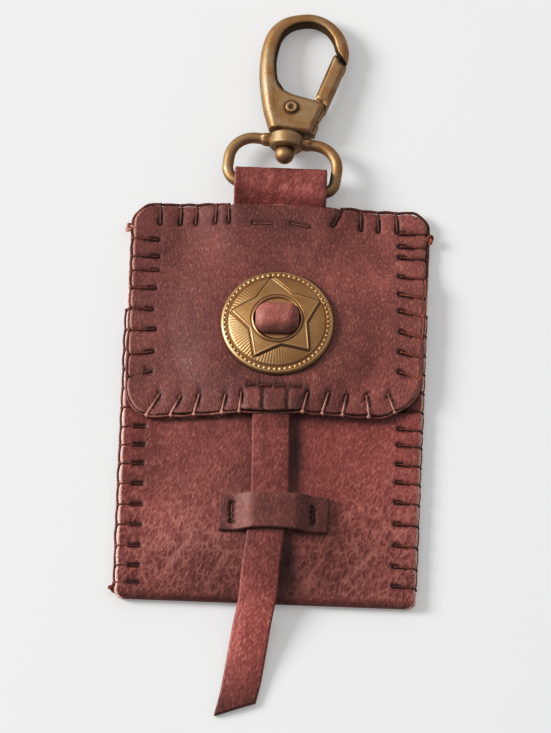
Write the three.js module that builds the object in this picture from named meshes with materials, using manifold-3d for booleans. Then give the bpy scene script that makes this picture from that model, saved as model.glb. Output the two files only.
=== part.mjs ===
// Leather card wallet with a flap, a closing strap, a star concho and a swivel snap hook.
// Millimetres. It lies on its back: +Z up, +Y towards the hook, origin in the middle of the back.
import * as THREE from "three";
import { mergeVertices } from "three/addons/utils/BufferGeometryUtils.js";
import Module from "manifold-3d";

const wasm = await Module();
wasm.setup();
const { degToRad, lerp, smoothstep } = THREE.MathUtils;

// Leather and clearances
const LEATHER = 1.3;
const GAP = 0.3;

// Pouch: one sheet folded at the bottom, sewn up both sides
const WIDTH = 76;
const HEIGHT = 103;
const TOP_Y = HEIGHT / 2;
const BOTTOM_Y = -HEIGHT / 2;
const SEWN_MARGIN = 6;
const POCKET_DEPTH = 4.4;
const MOUTH_Y = 28;
const SIDE_RISE = 16;
const BOTTOM_FLAT = 1.5;
const BOTTOM_RISE = 14;
const POUCH_TOP_CORNER = 5;
const POUCH_BOTTOM_CORNER = 3;

// Flap
const FLAP_WIDTH = 74.5;
const FLAP_LOW_Y = -4.6;
const FLAP_LOW_CORNER = 7.5;
const FLAP_TOP_CORNER = 5;

// Closing strap and its keeper
const STRAP_WIDTH = 9.6;
const STRAP_THICK = 1.5;
const STRAP_TIP_SLANT = 5.2;
const STRAP_START_Y = 5;
const KEEPER = { x: 1.4, y: -30.5, length: 27.2, height: 9.6 };

// Swivel clip: its frame has X along the ring's bar and Y along the swivel axis
const BAR = { x: -0.7, y: 57, z: 5.34 };
const CLIP_TURN = degToRad(-6);
const CLIP_SLOPE = degToRad(-3.55);
const WIRE_R = 1.42;
const RING = { half: 13.65, height: 12.6, lowCorner: 2.8, highCorner: 6.2 };
const COLLAR = { outer: 4.2, bore: 2.2, length: 3.8, chamfer: 0.5 };
const STEM_R = 1.9;
const BALL = { y: 9.15, radius: 2.45 };
const BASE_HALF = 2.9;
const SLOT_HALF = 1.45;
const ROOT_HALF = 1.15;
const GATE_HALF = 2;
const PIVOT = { x: 0, y: 21 };
const SLOT_REACH = 2.65;
const PIN = { shaft: 1, head: 1.45, half: 3.5, headThick: 0.35, dish: 0.3 };
const PIN_HOLE_R = PIN.shaft + GAP;

// Leather tab folded round the ring's bar
const LOOP_WIDTH = 22;
const LOOP_INNER_R = 2.4;
const LOOP_FOLD_Y = 62;
const LOOP_END_Y = 43;
const LOOP_PARTING = { start: 50.6, end: 55.7, layerGap: 0.2 };

// Concho and the thong that ties it on
const CONCHO = { x: 0.3, y: 20, z: 9.9, tilt: degToRad(-4) };
const CONCHO_R = 14.25;
const HUB = { floorR: 6.2, wallR: 6.5, lipR: 7.1, lipZ: 3.2, floorZ: 1.6, thick: 1 };
const STAR = { points: 5, tipR: 12.3, innerR: 7.5, turn: degToRad(30), rise: 0.4 };
const SECTORS = 60;
const TIE = { width: 10, thick: 1.2, legY: 2.6, endZ: -2.2 };

// Facet counts
const COLUMNS = 20;
const FRONT_ROWS = 12;
const FLAP_ROWS = 13;
const CORNER_STEPS = 3;
const FOLD_STEPS = 4;
const ROUND = 20;

const vec = (x, y, z) => new THREE.Vector3(x, y, z);

// Closed body from points and triangles, turned so that its faces point out
function body(points, triangles) {
  let volume = 0;
  for (let i = 0; i < triangles.length; i += 3) {
    const [a, b, c] = triangles.slice(i, i + 3).map((k) => points[k]);
    volume += a.dot(b.clone().cross(c));
  }
  const index = volume > 0 ? triangles : triangles.toReversed();
  const geometry = new THREE.BufferGeometry().setFromPoints(points);
  geometry.setIndex(index);
  return geometry;
}

// Closed body between two grids of points of the same size
function slab(topRows, underRows) {
  const columns = topRows[0].length;
  const lastRow = topRows.length - 1;
  const lastColumn = columns - 1;
  const points = [...topRows.flat(), ...underRows.flat()];
  const top = (i, j) => i * columns + j;
  const under = (i, j) => topRows.length * columns + top(i, j);
  const triangles = [];
  const quad = (a, b, c, d) => triangles.push(a, b, c, a, c, d);
  for (let i = 0; i < lastRow; i += 1) {
    for (let j = 0; j < lastColumn; j += 1) {
      quad(top(i, j), top(i, j + 1), top(i + 1, j + 1), top(i + 1, j));
      quad(under(i, j), under(i + 1, j), under(i + 1, j + 1), under(i, j + 1));
    }
    quad(top(i, 0), top(i + 1, 0), under(i + 1, 0), under(i, 0));
    quad(top(i + 1, lastColumn), top(i, lastColumn), under(i, lastColumn), under(i + 1, lastColumn));
  }
  for (let j = 0; j < lastColumn; j += 1) {
    quad(top(0, j + 1), top(0, j), under(0, j), under(0, j + 1));
    quad(top(lastRow, j), top(lastRow, j + 1), under(lastRow, j + 1), under(lastRow, j));
  }
  return body(points, triangles);
}

// Closed round body between two sets of rings; each set starts with one point on the axis
function disc(topRings, underRings) {
  const sectors = topRings[1].length;
  const points = [...topRings.flat(), ...underRings.flat()];
  const lower = points.length / 2;
  const rim = topRings.length - 1;
  const at = (ring, k) => (ring === 0 ? 0 : 1 + (ring - 1) * sectors + (k % sectors));
  const triangles = [];
  for (let k = 0; k < sectors; k += 1) {
    for (let ring = 0; ring < rim; ring += 1) {
      const near = [at(ring, k), at(ring, k + 1)];
      const far = [at(ring + 1, k), at(ring + 1, k + 1)];
      triangles.push(near[0], far[0], far[1]);
      triangles.push(lower + near[0], lower + far[1], lower + far[0]);
      if (ring > 0) {
        triangles.push(near[0], far[1], near[1]);
        triangles.push(lower + near[0], lower + near[1], lower + far[1]);
      }
    }
    const edge = [at(rim, k), at(rim, k + 1)];
    triangles.push(edge[0], lower + edge[0], lower + edge[1]);
    triangles.push(edge[0], lower + edge[1], edge[1]);
  }
  return body(points, triangles);
}

// Closed body through a row of convex sections, capped at both ends
function loft(sections) {
  const sides = sections[0].length;
  const last = (sections.length - 1) * sides;
  const triangles = [];
  for (let i = 0; i < sections.length - 1; i += 1) {
    for (let j = 0; j < sides; j += 1) {
      const a = i * sides + j;
      const b = i * sides + ((j + 1) % sides);
      triangles.push(a, b, b + sides, a, b + sides, a + sides);
    }
  }
  for (let j = 1; j < sides - 1; j += 1) {
    triangles.push(0, j + 1, j);
    triangles.push(last, last + j, last + j + 1);
  }
  return body(sections.flat(), triangles);
}

// Flat strip along a line of points; sideAt gives the direction across it
function strip(middle, width, thick, sideAt, slant = 0) {
  const top = [];
  const under = [];
  middle.forEach((point, i) => {
    const before = middle[Math.max(i - 1, 0)];
    const after = middle[Math.min(i + 1, middle.length - 1)];
    const along = after.clone().sub(before).normalize();
    const side = sideAt(along);
    const lift = side.clone().cross(along).normalize().multiplyScalar(thick / 2);
    const skew = i === middle.length - 1 ? slant : 0;
    const edges = [-1, 1].map((sign) => point.clone()
      .addScaledVector(side, (sign * width) / 2)
      .addScaledVector(along, (-sign * skew) / 2));
    top.push(edges.map((edge) => edge.clone().add(lift)));
    under.push(edges.map((edge) => edge.clone().sub(lift)));
  });
  return slab(top, under);
}

// Boolean helpers
function solid(geometry) {
  const bare = geometry.clone();
  bare.deleteAttribute("normal");
  bare.deleteAttribute("uv");
  const merged = mergeVertices(bare, 1e-4);
  const vertProperties = new Float32Array(merged.attributes.position.array);
  const triVerts = new Uint32Array(merged.index.array);
  return new wasm.Manifold(new wasm.Mesh({ numProp: 3, vertProperties, triVerts }));
}

function geometryOf(shape) {
  const mesh = shape.getMesh();
  const geometry = new THREE.BufferGeometry();
  geometry.setAttribute("position", new THREE.BufferAttribute(mesh.vertProperties, 3));
  geometry.setIndex(new THREE.BufferAttribute(mesh.triVerts, 1));
  return geometry;
}

function block(width, depth, height, x, y, z) {
  return new THREE.BoxGeometry(width, depth, height).translate(x, y, z);
}

// Plate of an outline, centred on Z, with its edges bevelled by the given amount
function plate(outline, half, bevel) {
  const shape = new THREE.Shape(outline.map(([x, y]) => new THREE.Vector2(x, y)));
  const options = {
    depth: 2 * (half - bevel),
    bevelEnabled: bevel > 0,
    bevelThickness: bevel,
    bevelSize: bevel,
    bevelOffset: -bevel,
    bevelSegments: 2,
  };
  return new THREE.ExtrudeGeometry(shape, options).translate(0, 0, bevel - half);
}

// Rows of a panel with rounded corners: each has a height y and a half width
function panelRows(low, high, half, lowCorner, highCorner, middleRows) {
  const rows = [];
  const corner = (edge, radius, inward, step) => {
    const turn = (step / CORNER_STEPS) * (Math.PI / 2);
    return { y: edge + inward * radius * (1 - Math.cos(turn)), half: half - radius * (1 - Math.sin(turn)) };
  };
  for (let i = 0; i < CORNER_STEPS; i += 1) {
    rows.push(corner(low, lowCorner, 1, i));
  }
  for (let i = 0; i <= middleRows; i += 1) {
    rows.push({ y: lerp(low + lowCorner, high - highCorner, i / middleRows), half });
  }
  for (let i = CORNER_STEPS - 1; i >= 0; i -= 1) {
    rows.push(corner(high, highCorner, -1, i));
  }
  return rows;
}

const acrossPanel = (half) => Array.from({ length: COLUMNS + 1 }, (_, j) => half * ((2 * j) / COLUMNS - 1));

// Front panel: flat along the sewn sides and the fold, swollen over the pocket
function pocketSwell(x, y) {
  const fromSide = WIDTH / 2 - Math.abs(x);
  const sideways = smoothstep(fromSide, SEWN_MARGIN, SEWN_MARGIN + SIDE_RISE);
  const upwards = smoothstep(y - BOTTOM_Y, BOTTOM_FLAT, BOTTOM_FLAT + BOTTOM_RISE);
  return sideways * upwards;
}

const frontUnder = (x, y) => LEATHER + GAP + (POCKET_DEPTH - GAP) * pocketSwell(x, y);
const frontTop = (x, y) => frontUnder(x, y) + LEATHER;
const FRONT_PLATEAU_Z = LEATHER + POCKET_DEPTH + LEATHER;
const SEWN_EDGE_Z = LEATHER + GAP + LEATHER;

function makePouch() {
  const outer = [];
  const inner = [];
  const addRow = (y, half, outerZ, innerY, innerZ) => {
    const xs = acrossPanel(half);
    outer.push(xs.map((x) => vec(x, y, outerZ(x))));
    inner.push(xs.map((x) => vec(x, innerY, innerZ(x))));
  };
  const foldR = SEWN_EDGE_Z / 2;
  const back = panelRows(BOTTOM_Y, TOP_Y, WIDTH / 2, POUCH_BOTTOM_CORNER, POUCH_TOP_CORNER, 1);
  back.reverse().forEach((row) => {
    if (row.y >= BOTTOM_Y + foldR) {
      addRow(row.y, row.half, () => 0, row.y, () => LEATHER);
    }
  });
  const foldHalf = WIDTH / 2 - POUCH_BOTTOM_CORNER / 4;
  for (let i = 0; i <= FOLD_STEPS; i += 1) {
    const turn = -Math.PI / 2 - (Math.PI * i) / FOLD_STEPS;
    const reach = Math.cos(turn);
    const rise = Math.sin(turn);
    const insideR = GAP / 2;
    const y = BOTTOM_Y + foldR;
    const narrow = foldHalf + POUCH_BOTTOM_CORNER * 0.25 * reach;
    addRow(y + foldR * reach, narrow, () => foldR + foldR * rise,
      y + insideR * reach, () => foldR + insideR * rise);
  }
  for (let i = 1; i <= FRONT_ROWS; i += 1) {
    const y = lerp(BOTTOM_Y + foldR, MOUTH_Y, i / FRONT_ROWS);
    addRow(y, WIDTH / 2, (x) => frontTop(x, y), y, (x) => frontUnder(x, y));
  }
  return slab(outer, inner);
}

// Flap: crown height of its underside down the middle, from the strap up to the sewn top edge
const FLAP_CROWN = [
  { y: FLAP_LOW_Y - 6, z: 7.35 },
  { y: FLAP_LOW_Y, z: 7.55 },
  { y: 8, z: 8.95 },
  { y: 20, z: 8.2 },
  { y: 34, z: 6.9 },
  { y: 45.5, z: 5.25 },
  { y: TOP_Y, z: 5.2 },
  { y: TOP_Y + 6, z: 5.15 },
];
const crownCurve = new THREE.SplineCurve(FLAP_CROWN.map((row) => new THREE.Vector2(row.y, row.z)));

function flapCrown(y) {
  const last = FLAP_CROWN.length - 1;
  const i = FLAP_CROWN.findIndex((row, k) => k === last || y < FLAP_CROWN[k + 1].y);
  const share = (y - FLAP_CROWN[i].y) / (FLAP_CROWN[i + 1].y - FLAP_CROWN[i].y);
  return crownCurve.getPoint((i + share) / last).y;
}

function flapUnder(x, y) {
  const towardsTop = smoothstep(y, MOUTH_Y + 2, TOP_Y - SEWN_MARGIN);
  const flatHalf = lerp(WIDTH / 2 - SEWN_MARGIN - SIDE_RISE, LOOP_WIDTH / 2 + 1, towardsTop);
  const fallEnd = lerp(WIDTH / 2 - SEWN_MARGIN, LOOP_WIDTH / 2 + 10, towardsTop);
  const edge = lerp(SEWN_EDGE_Z, LEATHER, smoothstep(y, MOUTH_Y + 1, TOP_Y - 2 * SEWN_MARGIN)) + GAP;
  const dome = 1 - smoothstep(Math.abs(x), flatHalf, fallEnd);
  const overStrap = 1 - smoothstep(Math.abs(x), STRAP_WIDTH / 2 + 0.8, STRAP_WIDTH / 2 + 4.5);
  const strapTop = FRONT_PLATEAU_Z + GAP + STRAP_THICK + GAP;
  const besideStrap = 1 - smoothstep(y, STRAP_START_Y + 1, STRAP_START_Y + 5);
  const crown = lerp(edge, flapCrown(y), dome);
  return crown + overStrap * besideStrap * Math.max(strapTop - crown, 0);
}

function makeFlap() {
  const rows = panelRows(FLAP_LOW_Y, TOP_Y, FLAP_WIDTH / 2, FLAP_LOW_CORNER, FLAP_TOP_CORNER, FLAP_ROWS);
  const grid = (lift) => rows.map((row) => acrossPanel(row.half)
    .map((x) => vec(x, row.y, flapUnder(x, row.y) + lift)));
  const sheet = solid(slab(grid(LEATHER), grid(0)));
  const slitThick = TIE.thick + 2 * GAP;
  const slits = [-TIE.legY, TIE.legY].map((y) => {
    const cut = block(TIE.width + 2 * GAP, slitThick, 6, 0, y, 0);
    return solid(cut.applyMatrix4(conchoMatrix()));
  });
  return geometryOf(slits.reduce((shape, slit) => shape.subtract(slit), sheet));
}

function conchoMatrix() {
  const turn = new THREE.Matrix4().makeRotationX(CONCHO.tilt);
  return turn.setPosition(CONCHO.x, CONCHO.y, CONCHO.z);
}

// Tab: lower layer on the back panel, fold round the bar, upper layer drawn down again to the seam
function makeClipLoop() {
  const middleR = LOOP_INNER_R + LEATHER / 2;
  const lowZ = BAR.z - middleR;
  const highZ = BAR.z + middleR;
  const seamZ = lowZ + LEATHER + LOOP_PARTING.layerGap;
  const foldY = LOOP_FOLD_Y - LEATHER / 2 - middleR;
  const sway = (LOOP_PARTING.end - LOOP_PARTING.start) * 0.42;
  const path = new THREE.Path();
  path.moveTo(LOOP_END_Y, lowZ);
  path.lineTo(foldY, lowZ);
  path.absarc(foldY, BAR.z, middleR, -Math.PI / 2, Math.PI / 2, false);
  path.lineTo(LOOP_PARTING.end, highZ);
  path.bezierCurveTo(LOOP_PARTING.end - sway, highZ, LOOP_PARTING.start + sway, seamZ,
    LOOP_PARTING.start, seamZ);
  path.lineTo(LOOP_END_Y, seamZ);
  const middle = path.getPoints(8).map((point) => vec(0, point.x, point.y));
  return strip(middle, LOOP_WIDTH, LEATHER, () => vec(1, 0, 0));
}

// Strap: its middle line seen from above, and the height of its underside
const STRAP_LINE = [
  { x: 0.2, y: STRAP_START_Y, z: FRONT_PLATEAU_Z + GAP },
  { x: -0.2, y: FLAP_LOW_Y, z: FRONT_PLATEAU_Z + GAP },
  { x: 0, y: -14, z: FRONT_PLATEAU_Z + GAP },
  { x: 0.2, y: -24, z: FRONT_PLATEAU_Z + GAP },
  { x: -0.1, y: -33, z: FRONT_PLATEAU_Z + GAP },
  { x: -0.8, y: -40, z: 6.9 },
  { x: -1.4, y: -46, z: 5.8 },
  { x: -1.9, y: -52, z: 4.4 },
  { x: -3, y: -60, z: 2.6 },
  { x: -4.2, y: -68, z: 1.1 },
  { x: -5.3, y: -75, z: 0.3 },
  { x: -6.2, y: -80, z: 0.1 },
];

function makeStrap() {
  const line = STRAP_LINE.map((row) => vec(row.x, row.y, row.z + STRAP_THICK / 2));
  const middle = new THREE.CatmullRomCurve3(line).getSpacedPoints(30);
  const level = (along) => vec(-along.y, along.x, 0).normalize();
  return strip(middle, STRAP_WIDTH, STRAP_THICK, level, STRAP_TIP_SLANT);
}

// Keeper: flat on the front panel at both ends, arched over the strap
function makeKeeper() {
  const steps = 18;
  const archHalf = STRAP_WIDTH / 2 + 0.6;
  const archRun = 3.6;
  const middle = [];
  for (let i = 0; i <= steps; i += 1) {
    const x = KEEPER.x + KEEPER.length * (i / steps - 0.5);
    const arch = 1 - smoothstep(Math.abs(x), archHalf, archHalf + archRun);
    const under = FRONT_PLATEAU_Z + GAP + arch * (STRAP_THICK + GAP);
    middle.push(vec(x, KEEPER.y, under + LEATHER / 2));
  }
  return strip(middle, KEEPER.height, LEATHER, () => vec(0, -1, 0));
}

// Concho: domed disc with a raised star, hatched fields, a beaded rim and a slotted hub
function starRadius(angle) {
  const half = Math.PI / STAR.points;
  const turned = THREE.MathUtils.euclideanModulo(angle - STAR.turn, 2 * half);
  const fromTip = Math.min(turned, 2 * half - turned);
  const reach = STAR.innerR * Math.sin(half - fromTip) + STAR.tipR * Math.sin(fromTip);
  return (STAR.tipR * STAR.innerR * Math.sin(half)) / reach;
}

function makeConcho() {
  const fieldR = 12.9;
  const beadR = 13.5;
  const fieldEdgeZ = 1;
  const domeRise = 2.6;
  const shell = 0.9;
  const hatch = 0.14;
  const bead = 0.22;
  const dome = (r) => fieldEdgeZ + domeRise * (1 - (r / fieldR) ** 2);
  const rings = [
    { r: () => HUB.floorR, top: () => HUB.floorZ, under: () => HUB.floorZ - HUB.thick },
    { r: () => HUB.wallR, top: () => HUB.lipZ, under: () => HUB.floorZ - HUB.thick },
    { r: () => HUB.lipR, top: () => HUB.lipZ, under: () => dome(HUB.lipR) - shell },
    { r: (a) => starRadius(a) - 0.3, top: (r) => dome(r) + STAR.rise, under: (r) => dome(r) - shell },
    { r: (a) => starRadius(a) + 0.1, top: (r, even) => dome(r) + even * hatch, under: (r) => dome(r) - shell },
    { r: () => fieldR, top: (r) => dome(r), under: () => 0 },
    { r: () => beadR, top: (r, even) => fieldEdgeZ + even * bead, under: () => 0 },
    { r: () => CONCHO_R, top: () => fieldEdgeZ / 2, under: () => 0 },
  ];
  const topRings = [[vec(0, 0, HUB.floorZ)]];
  const underRings = [[vec(0, 0, HUB.floorZ - HUB.thick)]];
  rings.forEach((ring) => {
    const top = [];
    const under = [];
    for (let k = 0; k < SECTORS; k += 1) {
      const angle = (2 * Math.PI * k) / SECTORS;
      const r = ring.r(angle);
      const even = k % 2 === 0 ? 1 : -1;
      top.push(vec(r * Math.cos(angle), r * Math.sin(angle), ring.top(r, even)));
      under.push(vec(r * Math.cos(angle), r * Math.sin(angle), ring.under(r)));
    }
    topRings.push(top);
    underRings.push(under);
  });
  const slotThick = TIE.thick + 2 * GAP;
  const slots = [-TIE.legY, TIE.legY].map((y) => solid(block(TIE.width + 2 * GAP, slotThick, 4, 0, y, 1)));
  const shape = slots.reduce((rest, slot) => rest.subtract(slot), solid(disc(topRings, underRings)));
  return geometryOf(shape);
}

// Thong: out through one slot, over the hub's bar and back through the other slot
function makeConchoTie() {
  const bulgeY = 3.7;
  const crownZ = 5.3;
  const side = [
    { y: TIE.legY, z: TIE.endZ },
    { y: TIE.legY, z: 0.9 },
    { y: TIE.legY + 0.1, z: 2.4 },
    { y: bulgeY, z: 4 },
    { y: bulgeY - 1, z: 5 },
  ];
  const line = [
    ...side.map((row) => vec(0, row.y, row.z)),
    vec(0, 0, crownZ),
    ...side.toReversed().map((row) => vec(0, -row.y, row.z)),
  ];
  const middle = new THREE.CatmullRomCurve3(line).getSpacedPoints(28);
  return strip(middle, TIE.width, TIE.thick, () => vec(1, 0, 0));
}

// Wire ring soldered into a bored collar
function makeSwivelRing() {
  const { half, height, lowCorner, highCorner } = RING;
  const outline = new THREE.Path();
  outline.moveTo(0, 0);
  outline.lineTo(half - lowCorner, 0);
  outline.absarc(half - lowCorner, lowCorner, lowCorner, -Math.PI / 2, 0, false);
  outline.lineTo(half, height - highCorner);
  outline.absarc(half - highCorner, height - highCorner, highCorner, 0, Math.PI / 2, false);
  outline.lineTo(highCorner - half, height);
  outline.absarc(highCorner - half, height - highCorner, highCorner, Math.PI / 2, Math.PI, false);
  outline.lineTo(-half, lowCorner);
  outline.absarc(lowCorner - half, lowCorner, lowCorner, Math.PI, 1.5 * Math.PI, false);
  outline.lineTo(0, 0);
  const points = outline.getSpacedPoints(44).slice(0, -1).map((point) => vec(point.x, point.y, 0));
  const wire = new THREE.TubeGeometry(new THREE.CatmullRomCurve3(points, true), 44, WIRE_R, 10, true);
  const { outer, bore, length, chamfer } = COLLAR;
  const profile = [
    [0, -length / 2],
    [outer - chamfer, -length / 2],
    [outer, chamfer - length / 2],
    [outer, length / 2 - chamfer],
    [outer - chamfer, length / 2],
    [0, length / 2],
  ].map(([r, y]) => new THREE.Vector2(r, y));
  const barrel = new THREE.LatheGeometry(profile, ROUND).translate(0, height, 0);
  const drill = new THREE.CylinderGeometry(bore, bore, 2 * length, ROUND).translate(0, height, 0);
  return geometryOf(solid(wire).add(solid(barrel)).subtract(solid(drill)));
}

// Hook: inner and outer edge of the bow, with half its thickness, from the base round to the nose
const BOW = [
  { inX: -3.6, inY: 22, outX: -7, outY: 21.5, half: 2.7 },
  { inX: -4.4, inY: 28.4, outX: -8.9, outY: 28.4, half: 2.7 },
  { inX: -5.35, inY: 34, outX: -9.45, outY: 34, half: 2.5 },
  { inX: -5.1, inY: 38.6, outX: -9.1, outY: 39.2, half: 2.4 },
  { inX: -3.6, inY: 41.8, outX: -6.9, outY: 43.7, half: 2.3 },
  { inX: -0.1, inY: 43.9, outX: -0.6, outY: 47.3, half: 2.3 },
  { inX: 2.9, inY: 43.9, outX: 2.7, outY: 47.4, half: 2.3 },
  { inX: 5.6, inY: 42.7, outX: 6.6, outY: 46.3, half: 2.3 },
  { inX: 7.5, inY: 40.8, outX: 10.3, outY: 43.1, half: 2.3 },
  { inX: 8.4, inY: 39.6, outX: 12, outY: 39.3, half: 2.2 },
  { inX: 8.75, inY: 39, outX: 12, outY: 35.6, half: 2.1 },
];
const BASE_OUTLINE = [
  [-4.7, 15.05],
  [5.5, 15.05],
  [6.2, 17.6],
  [7.4, 22.4],
  [7.95, 25],
  [5.5, 25.25],
  [-0.4, 25.5],
  [-2.7, 26.3],
  [-4.4, 28.4],
  [-8.7, 28.2],
  [-7.6, 23.7],
];
const GATE_BAR_OUTLINE = [
  [5.8, 25.9],
  [9.5, 25.5],
  [10.2, 28.2],
  [11.75, 34.8],
  [11.7, 35.42],
  [8.85, 38.4],
  [8.3, 37.6],
];
const GATE_ROOT_OUTLINE = [
  [-2.3, 21],
  [-1.6, 19.35],
  [0, 18.7],
  [6, 19.3],
  [8.4, 22.6],
  [9.4, 26.6],
  [6.3, 27.4],
  [0, 23.3],
  [-1.6, 22.65],
];

function makeBow() {
  const inner = new THREE.CatmullRomCurve3(BOW.map((row) => vec(row.inX, row.inY, row.half)));
  const outer = new THREE.CatmullRomCurve3(BOW.map((row) => vec(row.outX, row.outY, row.half)));
  const steps = 26;
  const sides = 10;
  const squareness = 0.72;
  const fuller = (value) => Math.sign(value) * Math.abs(value) ** squareness;
  const sections = [];
  for (let i = 0; i <= steps; i += 1) {
    const near = inner.getPoint(i / steps);
    const far = outer.getPoint(i / steps);
    sections.push(Array.from({ length: sides }, (_, k) => {
      const angle = (2 * Math.PI * (k + 0.5)) / sides;
      const share = 0.5 + 0.5 * fuller(Math.cos(angle));
      const z = near.z * fuller(Math.sin(angle));
      return vec(lerp(near.x, far.x, share), lerp(near.y, far.y, share), z);
    }));
  }
  return loft(sections);
}

function makeSnapHook() {
  const base = solid(plate(BASE_OUTLINE, BASE_HALF, 0.6));
  const stemTop = 16;
  const stemLength = stemTop - BALL.y;
  const stem = new THREE.CylinderGeometry(STEM_R, STEM_R, stemLength, ROUND);
  stem.translate(0, stemTop - stemLength / 2, 0);
  const ball = new THREE.SphereGeometry(BALL.radius, ROUND - 4, 10).translate(0, BALL.y, 0);
  const slotSize = { left: PIVOT.x - SLOT_REACH, right: 13, low: PIVOT.y - SLOT_REACH, high: 28.5 };
  const slot = block(slotSize.right - slotSize.left, slotSize.high - slotSize.low, 2 * SLOT_HALF,
    (slotSize.right + slotSize.left) / 2, (slotSize.high + slotSize.low) / 2, 0);
  const cast = base.add(solid(makeBow())).add(solid(stem)).add(solid(ball));
  return geometryOf(cast.subtract(solid(slot)).subtract(solid(pinDrill())));
}

function pinDrill() {
  const drill = new THREE.CylinderGeometry(PIN_HOLE_R, PIN_HOLE_R, 4 * BASE_HALF, 14);
  return drill.rotateX(Math.PI / 2).translate(PIVOT.x, PIVOT.y, 0);
}

function makeGate() {
  const bar = solid(plate(GATE_BAR_OUTLINE, GATE_HALF, 0.6));
  const root = solid(plate(GATE_ROOT_OUTLINE, ROOT_HALF, 0));
  return geometryOf(bar.add(root).subtract(solid(pinDrill())));
}

// Hollow rivet with a head at each end
function makeGatePin() {
  const { shaft, head, half, headThick, dish } = PIN;
  const profile = [
    [0, dish - half],
    [shaft * 0.7, dish - half],
    [shaft, -half],
    [head, -half],
    [head, headThick - half],
    [shaft, headThick - half],
    [shaft, half - headThick],
    [head, half - headThick],
    [head, half],
    [shaft, half],
    [shaft * 0.7, half - dish],
    [0, half - dish],
  ].map(([r, y]) => new THREE.Vector2(r, y));
  return new THREE.LatheGeometry(profile, 14).rotateX(Math.PI / 2);
}

// Materials
const leather = (color) => new THREE.MeshStandardMaterial({ color, roughness: 0.65, metalness: 0 });
const brass = (color) => new THREE.MeshStandardMaterial({ color, roughness: 0.35, metalness: 1 });
const panelLeather = leather(0x8a4a46);
const flapLeather = leather(0x74463f);
const castBrass = brass(0xa07840);
const conchoBrass = brass(0x8f6a38);

function named(name, geometry, material) {
  const mesh = new THREE.Mesh(geometry, material);
  mesh.name = name;
  return mesh;
}

const wallet = new THREE.Group();
wallet.add(named("pouch", makePouch(), panelLeather));
wallet.add(named("flap", makeFlap(), flapLeather));
wallet.add(named("clip_loop", makeClipLoop(), panelLeather));
wallet.add(named("strap", makeStrap(), panelLeather));
wallet.add(named("keeper", makeKeeper(), panelLeather));

const ornament = new THREE.Group();
ornament.applyMatrix4(conchoMatrix());
ornament.add(named("concho", makeConcho(), conchoBrass));
ornament.add(named("concho_tie", makeConchoTie(), panelLeather));
wallet.add(ornament);

const clip = new THREE.Group();
clip.position.set(BAR.x, BAR.y, BAR.z);
clip.rotation.set(CLIP_SLOPE, 0, CLIP_TURN, "ZYX");
clip.add(named("swivel_ring", makeSwivelRing(), castBrass));
clip.add(named("snap_hook", makeSnapHook(), castBrass));
clip.add(named("gate", makeGate(), castBrass));
const pin = named("gate_pin", makeGatePin(), castBrass);
pin.position.set(PIVOT.x, PIVOT.y, 0);
clip.add(pin);
wallet.add(clip);

export default wallet;
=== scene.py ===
"""Looks of a leather keychain wallet: sewn panels, thread, a brass concho and a swivel snap hook."""
import math

import bpy
import numpy as np
from mathutils import Matrix, Vector


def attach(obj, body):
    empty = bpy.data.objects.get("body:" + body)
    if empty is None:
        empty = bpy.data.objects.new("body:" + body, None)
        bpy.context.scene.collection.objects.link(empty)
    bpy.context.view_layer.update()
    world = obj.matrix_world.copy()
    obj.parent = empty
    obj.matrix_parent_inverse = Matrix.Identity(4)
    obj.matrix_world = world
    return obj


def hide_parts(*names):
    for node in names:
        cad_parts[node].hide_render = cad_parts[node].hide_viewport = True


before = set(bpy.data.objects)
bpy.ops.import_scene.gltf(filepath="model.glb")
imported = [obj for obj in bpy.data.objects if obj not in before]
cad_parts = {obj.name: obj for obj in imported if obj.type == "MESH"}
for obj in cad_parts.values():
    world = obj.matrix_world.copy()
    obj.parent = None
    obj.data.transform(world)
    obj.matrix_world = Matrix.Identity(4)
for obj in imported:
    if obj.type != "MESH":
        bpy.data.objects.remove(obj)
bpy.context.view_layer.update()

# Sizes in millimetres, close to those in the part's source
MM = 0.001
LEATHER = 1.3
GAP = 0.3
WIDTH = 76
TOP_Y = 51.5
BOTTOM_Y = -52.3
SEWN_MARGIN = 6
SIDE_RISE = 29
POCKET_DEPTH = 4.4
BOTTOM_FLAT = 1.5
BOTTOM_RISE = 14
MOUTH_Y = 28
FOLD_R = LEATHER + GAP / 2
FOLD_ROWS = 13
FRONT_ROWS = 170
FLAP_WIDTH = 74.5
FLAP_LOW_Y = -4.6
FLAP_SKEW = 0.03
FLAP_SKEW_REACH = 9
STRAP_WIDTH = 9.6
STRAP_THICK = 1.5
STRAP_TIP_SLANT = 5.2
KEEPER = {"x": 1.4, "y": -30.3, "length": 27, "height": 9.1, "arch": 2.05}
BAR = (-0.7, 57, 5.34)
CLIP_TURN = math.radians(-6)
CLIP_SLOPE = math.radians(-3.55)
LOOP_WIDTH = 22
LOOP_SPREAD = 0.35
LOOP_INNER_R = 2.4
LOOP_FOLD_Y = 62
LOOP_END_Y = 43
LOOP_PARTING = {"start": 50.6, "end": 55.7, "gap": 0.2}
LOOP_SHIFT = -0.4
CONCHO_AT = (0.3, 19.2, 9.4)
CONCHO_TILT = math.radians(-5)
CONCHO_SEAT = {"drop": 1.65, "inner": 13.5, "outer": 27}

# Sewing
EDGE_INSET = 1.05
LEG_DENT = 0.32
HOLE_DENT = 0.75
LEG_DENT_WIDTH = 0.5
SLOT_SHIFT = 0.45
PUFF = 0.1
EDGE_PULL = 0.25
RIM_BULGE = 0.6
RIM_STEPS = 3
THREAD_R = 0.3
LEG_R = 0.23
PURL_OFF = 0.3
HOLE_R = 0.62
PLY_PITCH = 1.4
THREAD_STEP = 0.22


# Number helpers
def smooth(value, low, high):
    share = np.clip((value - low) / (high - low), 0, 1)
    return share * share * (3 - 2 * share)


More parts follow.
